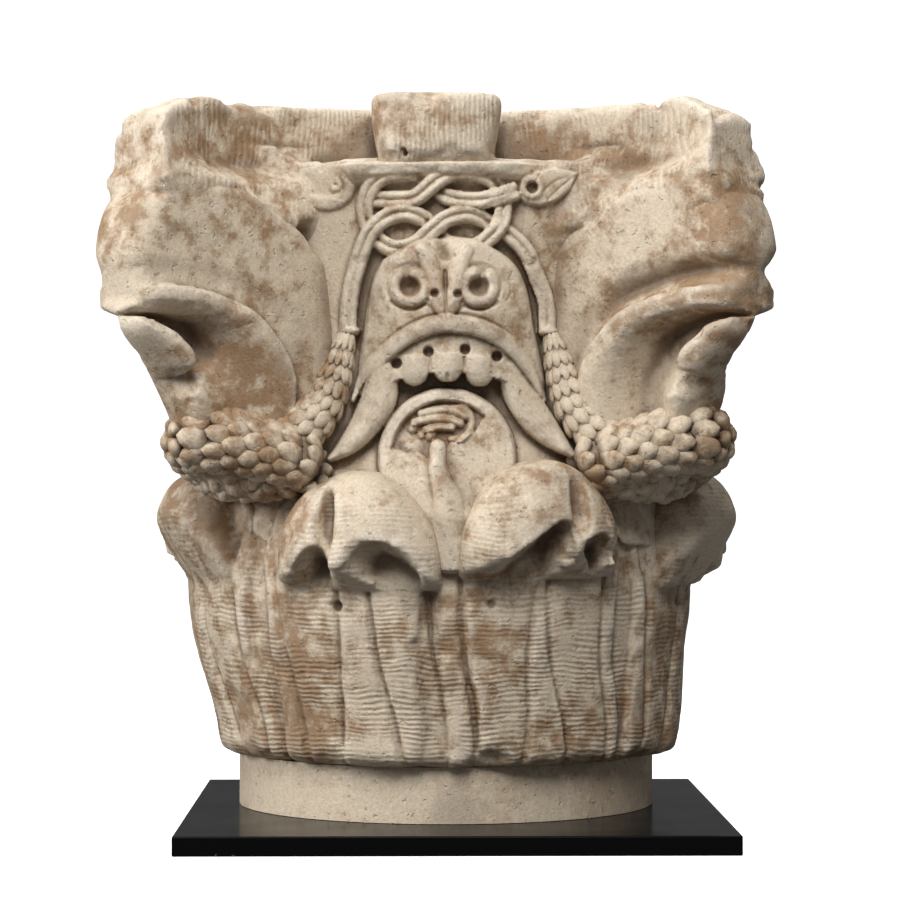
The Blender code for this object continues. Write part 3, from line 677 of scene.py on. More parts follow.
def carve_volute_side(relief, channelled, stubbed):
    """Draw one side of a volute, as heights over its outer leaf: rim, hollow and broken scroll."""
    p, h = relief.u, relief.h
    edge_gap, _ = relief.along(VOLUTE_RIM_LINE)
    rim_line = [row for row in VOLUTE_RIM_LINE[::-1] if row[0] > 189.5]
    rim_h = np.interp(p[:, 0], [row[0] for row in rim_line], [row[1] for row in rim_line])[:, None]
    inner = (h < rim_h) & (p > 189.5)
    depth = np.where(inner, edge_gap, -edge_gap)
    # The rim is a roll that flattens inwards and towards the tip; below it the leaf is hollowed
    rim = 6.5 * shoulder(depth, 3.0) * (1.0 - 0.4 * np.clip(depth / 30.0, 0.0, 1.0))
    rim = rim * ease(1.0, 0.2, (p - 282.0) / 35.0)
    if channelled:
        width = ease(15.0, 13.0, (p - 205.0) / 60.0)
        soft = ease(26.0, 13.0, (p - 210.0) / 45.0)
        deep = ease(15.0, 34.0, (p - 192.0) / 50.0)
        far_down = ease(1.0, 0.15, (depth - width - 26.0) / 36.0)
    else:
        width = ease(2.0, 13.0, (p - 215.0) / 60.0)
        soft = ease(46.0, 13.0, (p - 225.0) / 45.0)
        deep = ease(12.0, 30.0, (p - 205.0) / 60.0)
        far_down = ease(1.0, 0.25, (depth - width - 14.0) / 55.0)
    hollow = ease(0.0, 1.0, (depth - width) / soft)
    relief.lift = np.where(inner, rim - hollow * deep * far_down, 0.0).astype(np.float32)
    # Above the rim a channelled volute has a deep groove, the others a shallow one
    if channelled:
        channel = np.exp(-((depth + 11.0) / 8.0) ** 2)
        relief.lift = relief.lift - 12.0 * channel * ease(0.5, 1.0, (p - 190.0) / 50.0)
    else:
        relief.lift = relief.lift - 3.0 * np.exp(-((depth + 8.0) / 9.0) ** 2)
        relief.groove(((262, 393), (255, 380), (247, 368), (237, 356)), 1.6, 1.0)
    relief.groove(((316, 334), (311, 328), (309, 318)), 3.0, 3.5)
    if stubbed:
        inside = -outline_distance(rounded(VOLUTE_STUB, 4), p, h)
        relief.dish(262.0, 298.0, (21.0, 18.0), 8.0)
        relief.dish(286.0, 272.0, (26.0, 13.0), 9.0)
        relief.raise_to(12.0 * shoulder(inside, 7.0) - 12.0, inside > 0.0)


def volute_stone(fineness, channelled, stub_side, undercut):
    """Carve a corner volute; here x runs out along the diagonal and y to one side."""
    reliefs = []
    for side in (1.0, -1.0):
        relief = Relief((140.0, 190.0), (330.0, 440.0), fineness, 0.0)
        carve_volute_side(relief, channelled, side == stub_side)
        reliefs.append(relief)
    outline = rounded(VOLUTE_OUTLINE, 4)

    def distance(p, q, h):
        flat = outline_distance(outline, p + 0.0 * h, h + 0.0 * p)
        lift = np.where(q > 0.0, *(relief.read(p + 0.0 * h, h + 0.0 * p) for relief in reliefs))
        under = (ease(0.0, 8.0, (285.0 - h) / 70.0)
                 + ease(0.0, undercut, (308.0 - h) / 55.0) * ease(0.0, 1.0, -q / 16.0))
        side = np.abs(q) - np.maximum(volute_half(p) + lift - under, VOLUTE_WEB)
        return common(flat, side * 0.85, ease(5.0, 20.0, (p - 215.0) / 70.0)).astype(np.float32)

    stone = Stone(VOLUTE_LOW, VOLUTE_HIGH, fineness)
    stone.add(Form(VOLUTE_LOW, VOLUTE_HIGH, distance))
    return stone


def corner_turn(corner):
    """Return the turn that carries a volute from its own axes to a corner, the front left first."""
    turn = Matrix.Rotation(math.radians(225.0 + 90.0 * corner), 4, "Z")
    return Matrix.Translation((UPPER_SHIFT, 0.0, 0.0)) @ turn


def diagonal_reach(x, y):
    """Return how far out a place is towards the nearest corner."""
    return (np.abs(x) + np.abs(y)) * math.sqrt(0.5)


def abacus_distance(x, y, h):
    """Return the distance to the abacus: hollow sides, and corners that draw in at foot and top."""
    x = x - UPPER_SHIFT
    corner_reach = (ease(ABACUS_CORNER_REACH - 6.0, ABACUS_CORNER_REACH, (h - ABACUS_FOOT_H) / 12.0)
                    - ease(0.0, 12.0, (h - (ABACUS_TOP_H - 12.0)) / 12.0)
                    - 4.5 * np.exp(-((h - 424.0) / 10.0) ** 2))
    hollow_reach = ease(130.0, 98.0, (h - 412.0) / 22.0)
    half = ABACUS_CORNER_WIDTH / 2
    end_u = (ABACUS_CORNER_REACH - half) * math.sqrt(0.5)
    end_w = (ABACUS_CORNER_REACH + half) * math.sqrt(0.5)
    depth = end_w - hollow_reach
    radius = (end_u * end_u + depth * depth) / (2.0 * depth)
    centre = hollow_reach + radius
    ends = diagonal_reach(x, y)
    solid = ends - corner_reach
    for u, w in ((x, np.abs(y)), (y, np.abs(x))):
        solid = common(solid, radius - np.hypot(u, w - centre), 4.0)
    # Near the corners the foot sinks into the volutes and the top falls away, worn
    sunk = ease(7.0, 0.0, (h - ABACUS_FOOT_H) / 16.0) * ease(0.0, 1.0, (ends - 195.0) / 45.0)
    fall = 0.40 * np.maximum(ends - 252.0, 0.0)
    solid = common(solid + sunk, h - ABACUS_TOP_H + fall, 8.0)
    return common(solid, ABACUS_FOOT_H - h, 3.0)


def boss_distance(x, y, h):
    """Return the distance to the four bosses in the middle of the abacus's sides."""
    x = x - UPPER_SHIFT
    nearest = FAR
    for u, w in ((x, -y), (y, x), (x, y), (y, -x)):
        half = ease(BOSS_HALF - 5.0, BOSS_HALF, (h - 430.0) / 40.0)
        bow = BOSS_REACH - 3.0 - 0.0035 * u * u - ease(11.0, 0.0, (h - BOSS_FOOT_H) / 14.0)
        block = common(np.abs(u) - half, w - bow, 16.0)
        block = common(block, BOSS_BACK - w, 2.0)
        nearest = np.minimum(nearest, block)
    top = common(nearest, h - ABACUS_TOP_H - 1.0, 9.0)
    return common(top, BOSS_FOOT_H - h, 2.0)


def carved_before(stone, turn, inset):
    """Return the distance to a block that is already carved, made smaller by an inset."""
    back = np.array(turn.inverted())

    def distance(x, y, h):
        shape = np.broadcast(x, y, h).shape
        places = np.stack([np.broadcast_to(row, shape).ravel() for row in (x, y, h)], axis=1)
        local = places @ back[:3, :3].T + back[:3, 3]
        top = stone.low + stone.fineness * (np.array(stone.field.shape) - 1)
        held = np.clip(local, stone.low, top)
        gap = stone.read(stone.field, held) + np.linalg.norm(local - held, axis=1) + inset
        return gap.reshape(shape).astype(np.float32)

    return distance


def upper_stone(fineness, volutes):
    """Carve the upper bell, the abacus and the bosses, which flow into the volutes."""
    low, high = (-250.0, -250.0, 150.0), (250.0, 250.0, 490.0)
    stone = Stone(low, high, fineness)

    def bell(x, y, h):
        round_skin = np.hypot(x, y) - bell_radius(h)
        body = common(round_skin, h - 433.0, 4.0)
        return common(body, 158.0 - h, 1.0)

    # The fillets widen away from the middle of a side, where the bosses and the lip stay crisp
    def from_middle(x, y):
        return np.minimum(np.abs(x - UPPER_SHIFT), np.abs(y))

    def to_bell(x, y, h):
        return ease(5.0, 42.0, (from_middle(x, y) - 70.0) / 50.0) + 0.0 * h

    def to_volute(x, y, h):
        start = 58.0 + 1.4 * np.maximum(h - 402.0, 0.0)
        inward = (from_middle(x, y) - start) / 35.0
        return 2.0 + ease(0.0, 32.0, (h - 366.0) / 30.0) * ease(0.0, 1.0, inward)

    stone.add(Form((-200.0, -200.0, 150.0), (200.0, 200.0, 440.0), bell))
    stone.flow((-250.0, -250.0, 380.0), high, abacus_distance, to_bell)
    for block, turn in volutes:
        out = turn @ Vector((230.0, 0.0, 400.0))
        low_x, high_x = (-250.0, -70.0) if out.x < 0.0 else (60.0, 250.0)
        low_y, high_y = (-250.0, -60.0) if out.y < 0.0 else (60.0, 250.0)
        stone.flow((low_x, low_y, 364.0), (high_x, high_y, 484.0),
                   carved_before(block, turn, 2.5), to_volute)
    stone.add(Form((-240.0, -240.0, 420.0), (240.0, 240.0, 490.0), boss_distance), 1.5)
    return stone


# Broken openings in a face's left and right leaf tips: distance from the leaf's middle, height
LEFT_BREAKS = (
    ((-54, 84), (-52, 118), (-48, 134), (-38, 148), (-26, 158), (-16, 154), (-11, 138), (-12, 84)),
    ((1, 84), (1, 134), (6, 154), (18, 162), (32, 160), (46, 151), (56, 134), (60, 84)))
RIGHT_BREAKS = (
    ((-53, 84), (-50, 118), (-45, 131), (-31, 145), (-10, 161), (5, 169), (13, 162), (13, 142),
     (10, 84)),
    ((20, 84), (22, 146), (29, 157), (42, 158), (49, 142), (49, 84)))
# Leaves that kept their tips: number of the face and side of it
WHOLE_LEAVES = ((3, 1.0), (1, -1.0))
# How far a break goes in behind the front of a leaf's tip, and how much narrower it gets on the way
BREAK_DEPTH = 28.0
BREAK_TAPER = 0.42


def break_form(outline, turn, raised, seed):
    """Return a ragged opening that is broken through a leaf tip down to the leaf's own face."""
    low, high = np.min(outline, axis=0), np.max(outline, axis=0)
    back = np.array(turn.inverted())
    count, grain_size = 40, 3.4
    lattice = np.random.default_rng(seed).uniform(-1.0, 1.0, (count, count))
    spots = [turn @ Vector((s, -w, 0.0)) for s in (low[0] - 16, high[0] + 16) for w in (176, 250)]
    box_low = (min(p.x for p in spots), min(p.y for p in spots), low[1] + raised - 4)
    box_high = (max(p.x for p in spots), max(p.y for p in spots), high[1] + raised + 18)

    def cell(place):
        return np.clip((place / grain_size).astype(int), 0, count - 1)

    def distance(x, y, h):
        across = x * back[0, 0] + y * back[0, 1]
        away = np.hypot(x, y) - bell_radius(h) - LEAF_FLOOR
        flat = outline_distance(rounded(outline, 3), across + 0.0 * h, h - raised + 0.0 * across)
        ragged = lattice[cell(across + 60.0), cell(h - raised - 115.0)] * 0.5
        taper = BREAK_TAPER * (BREAK_DEPTH - np.clip(away, 0.0, BREAK_DEPTH))
        return common((flat + taper + ragged) * 0.9, -away, 3.0).astype(np.float32)

    return Form(box_low, box_high, distance)


def leaf_tip_form(turn, raised, cut, rise):
    """Return a drooping leaf tip, cut off from a height by a face that rises outwards."""
    half, out, up = LEAF_TIP_SIZE
    middle = turn @ Vector((0.0, -LEAF_TIP_CENTRE, LEAF_TIP_H + raised))
    reach = Vector((up, up, up))
    back = np.array(turn.inverted())

    def distance(x, y, h):
        across = np.abs(x * back[0, 0] + y * back[0, 1]) / half
        forward = np.abs(x * back[1, 0] + y * back[1, 1] + LEAF_TIP_CENTRE) / out
        upward = np.abs(h - middle.z) / up
        profile = (forward ** 2.6 + upward ** 2.6) ** (2.0 / 2.6)
        dome = (np.sqrt(across ** 2 + profile) - 1.0) * out
        away = np.clip(np.hypot(x, y) - bell_radius(h) - LEAF_FLOOR, 0.0, 40.0)
        underside = (cut + raised + rise * away - h) / math.sqrt(1.0 + rise * rise)
        return common(dome, underside, 4.0).astype(np.float32)

    return Form(np.array(middle - reach), np.array(middle + reach), distance)


# Lines cut down the lower bell of each face: distance across the face, and height
LEAF_LINES = (
    ((-124, 168), (-119, 118), (-110.5, 68), (-105, 15), (-104, -5)),
    ((-75, 135), (-74, 110), (-73, 82), (-77.5, 25), (-79, -5)),
    ((-52, 125), (-48, 90), (-45.5, 68), (-36.6, 10), (-34, -5)),
    ((-10, 130), (-9, 100), (-5, 60), (-3, 8), (-2, -5)),
    ((12, 135), (13, 100), (15, 60), (17, 8), (17.5, -5)),
    ((67, 130), (64, 110), (58.5, 64), (52, 9), (50, -5)),
    ((75, 135), (75.5, 110), (76.5, 78), (83, 10), (84, -5)),
    ((118, 165), (116, 108), (113.6, 64), (113, 13), (113, -5)),
    ((-141, 150), (-140, 100), (-136, 60), (-134, 10), (-134, -5)),
    ((142, 150), (140, 108), (134, 64), (132, 12), (132, -5)))


def leaf_relief(step):
    """Draw one face of the lower bell: leaves, their ribs and the lines beside them."""
    relief = Relief((-150.0, -6.0), (150.0, 226.0), step, 0.0)
    u, h = relief.u, relief.h
    for side in (-1.0, 1.0):
        middle = side * (LEAF_SIDE + 2.0)
        half = np.interp(h[0], (0.0, 70.0, 150.0, 185.0, 212.0), (50.0, 53.0, 59.0, 48.0, 18.0))
        inside = half[None, :] - np.abs(u - middle)
        relief.lift = np.maximum(relief.lift, 6.0 * shoulder(inside, 4.0)) * (h < 214.0)
    relief.raise_to(3.5 * shoulder(10.0 - np.abs(u - 6.0), 4.0) * (h < 170.0))
    for number in (1, 5):
        left, right = [np.interp(h[0], *np.array(line[::-1]).T[::-1])[None, :]
                       for line in LEAF_LINES[number:number + 2]]
        inside = np.minimum(u - left, right - u)
        relief.lift = relief.lift + 2.2 * shoulder(inside, 5.0) * ease(1.0, 0.0, (h - 96.0) / 26.0)
    for line in LEAF_LINES:
        relief.groove(line, 2.5, 3.4)
    relief.drill(35.0, 118.0, 3.0, 4.0)
    relief.drill(-75.0, 116.0, 3.5, 5.0)
    return relief


def lower_stone(fineness):
    """Carve the lower bell with its row of leaves."""
    low, high = (-246.0, -246.0, -8.0), (246.0, 246.0, 232.0)
    stone = Stone(low, high, fineness)
    relief = leaf_relief(fineness)

    def bell(x, y, h):
        x = x - ease(2.0, -5.0, (h - 20.0) / 70.0)
        angle = np.arctan2(x, -y)
        angle = (angle + math.pi / 4) % (math.pi / 2) - math.pi / 4
        away = np.hypot(x, y)
        u = np.sin(angle) * bell_radius(h)
        lift = relief.read(u + 0.0 * h, h + 0.0 * u) - LEAF_GROUND
        sloped = 214.0 - 1.4 * (away - bell_radius(h))
        body = common((away - bell_radius(h) - lift) * 0.9, h - sloped, 2.0)
        return common(body, -h, 15.0).astype(np.float32)

    stone.add(Form(low, high, bell))
    for face in range(4):
        for side in (-1.0, 1.0):
            raised = LEAF_RAISED if face == 0 and side > 0.0 else 0.0
            turn = Matrix.Rotation(math.radians(90.0 * face + side * LEAF_TURN), 4, "Z")
            whole = (face, side) in WHOLE_LEAVES
            rise = WHOLE_RISE if whole else BROKEN_RISE
            stone.add(leaf_tip_form(turn, raised, LEAF_CUT_H, rise), 3.0)
            if whole:
                continue
            breaks = LEFT_BREAKS if side < 0.0 else RIGHT_BREAKS
            for number, outline in enumerate(breaks):
                seed = 10 * face + 2 * number + (side > 0.0)
                stone.cut(break_form(outline, turn, raised, seed), 2.5)
            across, groove_h, half = (-14.0, 174.0, 6.0) if side < 0.0 else (20.0, 180.0, 9.0)
            tilt = turn @ Matrix.Rotation(math.radians(-16.0), 4, "X")
            groove = turn @ Vector((across, -226.0, groove_h + raised))
            stone.cut(ball(groove, (half, 14.0, 29.0), tilt), 2.5)

    # The outer side of the left leaf has split off along a slanting face, and the foot is chipped
    def fracture(x, y, h):
        return (0.85 * (x + 216.0) + 0.22 * (y + 63.0) + 0.47 * (h - 176.0)).astype(np.float32)

    stone.cut(Form((-246.0, -140.0, 131.0), (-180.0, -10.0, 232.0), fracture), 2.0)
    stone.cut(ball((32.0, -180.0, 3.0), (19.0, 17.0, 11.0)), 2.0)
    return stone


# Line of a garland from its collar: distance across the face, height, lift off the bell and share
# of the radius; then its middle at the corner: x, y, height and share
GARLAND_LINE = ((71.5, 303.0, 12.0, 0.36), (74.0, 288.0, 15.0, 0.48), (82.0, 260.0, 20.0, 0.66),
                (95.0, 242.0, 26.0, 0.82), (112.0, 225.0, 34.0, 0.94), (132.0, 214.0, 45.0, 1.0),
                (152.0, 212.0, 57.0, 1.0), (171.0, 217.0, 69.0, 0.96))
GARLAND_CORNER = (-176.0, -176.0, 236.0, 1.11)


def garland_path(radius):
    """Return rows of x, y, h and radius along the garland round the front left corner."""
    front = []
    for across, h, lift, share in GARLAND_LINE:
        bell = float(bell_radius(h))
        angle = across / bell
        reach = bell + lift
        if across > 120.0:
            reach = math.hypot(across, math.sqrt(max(bell ** 2 - across ** 2, 0.0)) + lift)
            angle = math.asin(across / reach)
        front.append((-reach * math.sin(angle), -reach * math.cos(angle), h, radius * share))
    *corner, share = GARLAND_CORNER
    side = [(y, x, h, half) for x, y, h, half in reversed(front)]
    return smooth_path(front + [(*corner, radius * share)] + side, 5)


def mesh_from(name, points, faces):
    """Return a smooth-shaded mesh of four-cornered faces, from points in metres."""
    mesh = bpy.data.meshes.new(name)
    mesh.vertices.add(len(points))
    mesh.vertices.foreach_set("co", np.ascontiguousarray(points, dtype=np.float32).ravel())
    mesh.loops.add(faces.size)
    mesh.loops.foreach_set("vertex_index", np.ascontiguousarray(faces, dtype=np.int32).ravel())
    mesh.polygons.add(len(faces))
    mesh.polygons.foreach_set("loop_start", np.arange(0, faces.size, 4, dtype=np.int32))
    mesh.update(calc_edges=True)
    mesh.shade_smooth()
    return mesh


def shown(name, mesh):
    """Link a mesh to the scene as a named object."""
    item = bpy.data.objects.new(name, mesh)
    bpy.context.scene.collection.objects.link(item)
    return item


def places_of(mesh, field="co"):
    """Return a mesh's vertex positions, or its vertex normals, as rows."""
    rows = np.empty(len(mesh.vertices) * 3, dtype=np.float32)
    if field == "co":
        mesh.vertices.foreach_get("co", rows)
    else:
        mesh.vertex_normals.foreach_get("vector", rows)
    return rows.reshape(-1, 3)


def thinned(item, most):
    """Cut down an object's mesh to about a number of triangles, the flattest places first."""
    triangles = sum(len(face.vertices) - 2 for face in item.data.polygons)
    if triangles <= most:
        return
    thin = item.modifiers.new("thin", "DECIMATE")
    thin.ratio = most / triangles
    ready = item.evaluated_get(bpy.context.evaluated_depsgraph_get())
    mesh = bpy.data.meshes.new_from_object(ready)
    item.modifiers.remove(thin)
    old = item.data
    item.data = mesh
    bpy.data.meshes.remove(old)
    mesh.shade_smooth()


def set_stone(name, stone, turn, wear, most, seed):
    """Mesh a carved block, wear it down and put it in its place, under its own name."""
    stone.weather(turn, wear, seed)
    points, faces = stone.skin()
    points = points @ np.array(turn.to_3x3()).T + np.array(turn.translation)
    points[:, 2] += FOOT
    item = shown(name, mesh_from(name, points * MM, faces))
    thinned(item, most)
    STONES[name] = (stone, turn)
    return item


def stone_places(item, turn):
    """Return an object's vertices in millimetres in the axes its block was carved in."""
    points = places_of(item.data) / MM
    points[:, 2] -= FOOT
    back = np.array(turn.inverted())
    return points @ back[:3, :3].T + back[:3, 3]


def write_marks(item, marks):
    """Store named numbers at each vertex, for the materials to read."""
    for name, values in marks.items():
        layer = item.data.attributes.new(name, "FLOAT", "POINT")
        layer.data.foreach_set("value", np.ascontiguousarray(values, dtype=np.float32))


class Shelter(Stone):
    """A coarse block of the whole capital that tells how enclosed a place is; the materials paint
    shade from it.
    """

    def __init__(self, fineness):
        super().__init__((-264.0, -264.0, -40.0), (260.0, 260.0, 516.0), fineness)
        self.field[:] = 0.0

    def take_in(self, stone, turn):
        """Mark where a carved block is solid."""
        back, forward = np.array(turn.inverted()), np.array(turn)
        size = stone.fineness * np.array(stone.field.shape)
        corners = np.array([stone.low + size * pick for pick in np.ndindex(2, 2, 2)])
        corners = corners @ forward[:3, :3].T + forward[:3, 3]
        part, *ticks = self.window(corners.min(axis=0), corners.max(axis=0))
        places = np.stack(np.broadcast_arrays(*ticks), axis=-1)
        local = places.reshape(-1, 3) @ back[:3, :3].T + back[:3, 3]
        cell = np.round((local - stone.low) / stone.fineness).astype(int)
        held = np.all((cell >= 0) & (cell < stone.field.shape), axis=1)
        solid = np.zeros(len(local), dtype=np.float32)
        solid[held] = stone.field[tuple(cell[held].T)] < 0.0
        self.field[part] = np.maximum(self.field[part], solid.reshape(places.shape[:3]))

    def spread(self, reach):
        """Even the block out, so that each place holds the share of stone round it."""
        self.field = self.blurred(reach)

    def at(self, points):
        """Return the share of stone round places in millimetres."""
        return self.read(self.field, points)


def feed(tree, socket, value):
    """Give an input a value, or link it to another node's socket."""
    if isinstance(value, bpy.types.NodeSocket):
        tree.links.new(value, socket)
    else:
        socket.default_value = value


def add_node(tree, kind, inputs=(), **settings):
    """Add a node to a tree with its settings and inputs, each a value or another node's socket."""
    node = tree.nodes.new(kind)
    for name, value in settings.items():
        setattr(node, name, value)
    for name, value in dict(inputs).items():
        feed(tree, node.inputs[name], value)
    return node


def made(tree, kind, inputs=(), **settings):
    """Add a node and return its first output."""
    return add_node(tree, kind, inputs, **settings).outputs[0]


def calculate(tree, operation, *values):
    """Add a maths node and return its result."""
    return made(tree, "ShaderNodeMath", enumerate(values), operation=operation)


def grain(tree, place, scale, detail=3.0, roughness=0.55):
    """Add a noise texture in object coordinates and return its value from 0 to 1."""
    node = add_node(tree, "ShaderNodeTexNoise",
                    {"Vector": place, "Scale": scale, "Detail": detail, "Roughness": roughness})
    return node.outputs["Fac"]


def mix(tree, share, first, second, blend="MIX"):
    """Add a colour mix and return its colour."""
    node = add_node(tree, "ShaderNodeMix", {"Factor": share}, data_type="RGBA", blend_type=blend)
    feed(tree, node.inputs[6], first)
    feed(tree, node.inputs[7], second)
    return node.outputs[2]


def ramp(tree, value, low, high):
    """Map a value from low..high to 0..1, smoothly and within those ends."""
    node = add_node(tree, "ShaderNodeMapRange", {"Value": value, "From Min": low, "From Max": high},
                    interpolation_type="SMOOTHSTEP")
    return node.outputs["Result"]


def new_group(name, inputs, outputs):
    """Start a shader node group with its named sockets; return its tree, input and output nodes."""
    tree = bpy.data.node_groups.new(name, "ShaderNodeTree")
    for socket, kind, value in inputs:
        made = tree.interface.new_socket(socket, in_out="INPUT", socket_type=kind)
        made.default_value = value
    for socket, kind in outputs:
        tree.interface.new_socket(socket, in_out="OUTPUT", socket_type=kind)
    return tree, tree.nodes.new("NodeGroupInput"), tree.nodes.new("NodeGroupOutput")


def patina_and_shade_group(colours):
    """Return the group that colours stone: patina patches, grey drifts, dirt and painted shade in
    crevices, painted shade in sheltered places, pale rubbed edges.
    """
    tree, source, result = new_group(
        "stone patina and painted shade",
        (("Crevice", "NodeSocketFloat", 0.0), ("Edge", "NodeSocketFloat", 0.0),
         ("Shelter", "NodeSocketFloat", 0.4), ("Patches", "NodeSocketFloat", 1.0)),
        (("Color", "NodeSocketColor"), ("Roughness", "NodeSocketFloat")))
    place = tree.nodes.new("ShaderNodeTexCoord").outputs["Object"]
    broad = grain(tree, place, 11.0, 3.0)
    patches = grain(tree, place, 75.0, 8.0, 0.66)
    fine = grain(tree, place, 420.0, 4.0, 0.75)
    shade = calculate(tree, "MULTIPLY_ADD", broad, 0.5, calculate(tree, "MULTIPLY", patches, 0.5))
    brown = calculate(tree, "MULTIPLY", ramp(tree, shade, 0.46, 0.59), source.outputs["Patches"])
    colour = mix(tree, brown, (*colours.cream, 1.0), (*colours.patina, 1.0))
    grey = ramp(tree, grain(tree, place, 21.0, 3.0), 0.55, 0.72)
    # Painted shade: sheltered places darken towards the sheltered colour, and crevices take dirt and
    # painted shade
    hidden = ramp(tree, source.outputs["Shelter"], 0.43, 0.70)
    crevice = ramp(tree, source.outputs["Crevice"], 0.12, 1.0)
    pale = ramp(tree, source.outputs["Edge"], 0.15, 0.9)
    for share, most, stain_and_shade in ((grey, 0.55, colours.grey), (hidden, 0.70, colours.shaded),
                               (crevice, 0.7, colours.crevice), (pale, 0.4, colours.edge)):
        colour = mix(tree, calculate(tree, "MULTIPLY", share, most), colour, (*stain_and_shade, 1.0))
    speckle = add_node(tree, "ShaderNodeMapRange", {"Value": fine, "From Min": 0.3, "From Max": 0.7,
                                                    "To Min": 0.78, "To Max": 1.12})
    colour = mix(tree, 1.0, colour, speckle.outputs["Result"], "MULTIPLY")
    tree.links.new(colour, result.inputs["Color"])
    roughness = calculate(tree, "MULTIPLY_ADD", patches, 0.25, 0.48)
    tree.links.new(roughness, result.inputs["Roughness"])
    return tree


def tooling_group():
    """Return the group that gives the height of chisel rows, pits and grain, and the rows' dirt."""
    tree, source, result = new_group(
        "tooled surface",
        (("Row", "NodeSocketFloat", 0.0), ("Tooled", "NodeSocketFloat", 0.0),
         ("Pitch", "NodeSocketFloat", 3.6), ("Depth", "NodeSocketFloat", 0.4)),
        (("Height", "NodeSocketFloat"), ("Dirt", "NodeSocketFloat")))
    place = tree.nodes.new("ShaderNodeTexCoord").outputs["Object"]
    sway = calculate(tree, "MULTIPLY", grain(tree, place, 20.0, 3.0, 0.5), 15.0)
    count = calculate(tree, "DIVIDE", calculate(tree, "ADD", source.outputs["Row"], sway),
                      source.outputs["Pitch"])
    wave = calculate(tree, "SINE", calculate(tree, "MULTIPLY", count, 2.0 * math.pi))
    kept = ramp(tree, grain(tree, place, 38.0, 4.0), 0.36, 0.62)
    held = calculate(tree, "MULTIPLY", kept, source.outputs["Tooled"])
    cut = calculate(tree, "MULTIPLY", wave, held)
    rows = calculate(tree, "MULTIPLY", cut, source.outputs["Depth"])
    dirt = calculate(tree, "MAXIMUM", calculate(tree, "MULTIPLY", cut, -0.30), 0.0)
    tree.links.new(dirt, result.inputs["Dirt"])
    pits = ramp(tree, grain(tree, place, 190.0, 4.0, 0.6), 0.60, 0.74)
    height = calculate(tree, "MULTIPLY_ADD", pits, -0.8, rows)
    rough = calculate(tree, "MULTIPLY", grain(tree, place, 520.0, 4.0, 0.65), 0.55)
    tree.links.new(calculate(tree, "ADD", height, rough), result.inputs["Height"])
    return tree


def group_node(tree, group, inputs):
    """Add a group to a material."""
    node = tree.nodes.new("ShaderNodeGroup")
    node.node_tree = group
    for name, value in inputs.items():
        feed(tree, node.inputs[name], value)
    return node


def mark(tree, name):
    """Return the value of a mark stored at each vertex."""
    return add_node(tree, "ShaderNodeAttribute", attribute_name=name).outputs["Fac"]


def new_material(name):
    """Make a material and return its node tree and its shader."""
    material = bpy.data.materials.new(name)
    material.use_nodes = True
    FINISHES[name] = material
    return material.node_tree, material.node_tree.nodes["Principled BSDF"]


def stone_material(name, patina, tooling, patches, pitch, depth):
    """Make a stone material that reads the marks on its mesh."""
    tree, shader = new_material(name)
    # Patina, with painted shade in sheltered places and crevices, read from the marks
    stain_and_shade = group_node(tree, patina, {"Crevice": mark(tree, "crevice"), "Edge": mark(tree, "edge"),
                                      "Shelter": mark(tree, "shelter"), "Patches": patches})
    tooled = group_node(tree, tooling, {"Row": mark(tree, "row"), "Tooled": mark(tree, "tooled"),
                                        "Pitch": pitch, "Depth": depth})
    bump = add_node(tree, "ShaderNodeBump", {"Strength": 1.0, "Distance": MM,
                                             "Height": tooled.outputs["Height"]})
    colour = mix(tree, tooled.outputs["Dirt"], stain_and_shade.outputs["Color"], (*DIRT_COLOUR, 1.0))
    tree.links.new(colour, shader.inputs["Base Color"])
    tree.links.new(stain_and_shade.outputs["Roughness"], shader.inputs["Roughness"])
    tree.links.new(bump.outputs["Normal"], shader.inputs["Normal"])


def black_material():
    """Make the plate's glossy black finish with pale scuffs at its lower edge."""
    tree, shader = new_material("black plate")
    place = tree.nodes.new("ShaderNodeTexCoord").outputs["Object"]
    scuff = ramp(tree, grain(tree, place, 60.0, 6.0, 0.7), 0.66, 0.72)
    low = add_node(tree, "ShaderNodeSeparateXYZ", {"Vector": place}).outputs["Z"]
    scuff = calculate(tree, "MULTIPLY", scuff, ramp(tree, low, 0.004, 0.0))
    shader.inputs["Specular IOR Level"].default_value = 0.02
    colour = mix(tree, scuff, (*BLACK, 1.0), (*SCUFF_COLOUR, 1.0))
    dust = grain(tree, place, 25.0, 5.0)
    tree.links.new(colour, shader.inputs["Base Color"])
    tree.links.new(calculate(tree, "MULTIPLY_ADD", dust, 0.16, 0.10), shader.inputs["Roughness"])


def fine_step(name, what, default, least, most):
    """Return a setting for the grid step of some carving, in millimetres."""
    return FloatProperty(name=name, description="Grid step of " + what + ", in millimetres",
                         default=default, min=least, max=most)


def length(name, description, default, least, most):
    """Return a setting for a length."""
    return FloatProperty(name=name, description=description, default=default, min=least, max=most,
                         unit="LENGTH", subtype="DISTANCE")


def colour_of(name, what, default):
    """Return a setting for a colour."""
    return FloatVectorProperty(name=name, description="Colour of " + what, default=default, size=3,
                               min=0.0, max=1.0, subtype="COLOR")


def power(name, where, default):
    """Return a setting for a lamp's power."""
    return FloatProperty(name=name, description="Power of the light " + where, default=default,
                         min=0.0, unit="POWER")


class CapitalCarving(bpy.types.PropertyGroup):
    """Fineness of the carved meshes and how worn they are."""

    relief_fineness: fine_step("Front relief fineness", "the front relief", 1.0, 0.6, 5.0)
    volute_fineness: fine_step("Volute fineness", "the volutes", 1.5, 0.8, 5.0)
    body_fineness: fine_step("Body fineness", "the other carving", 1.9, 1.0, 6.0)
    wear: FloatProperty(
        name="Wear", description="How strongly the surface is worn, as a share", default=1.0,
        min=0.0, max=2.0)
    seed: IntProperty(name="Seed", description="Seed of the wear and the chips", default=7, min=0)


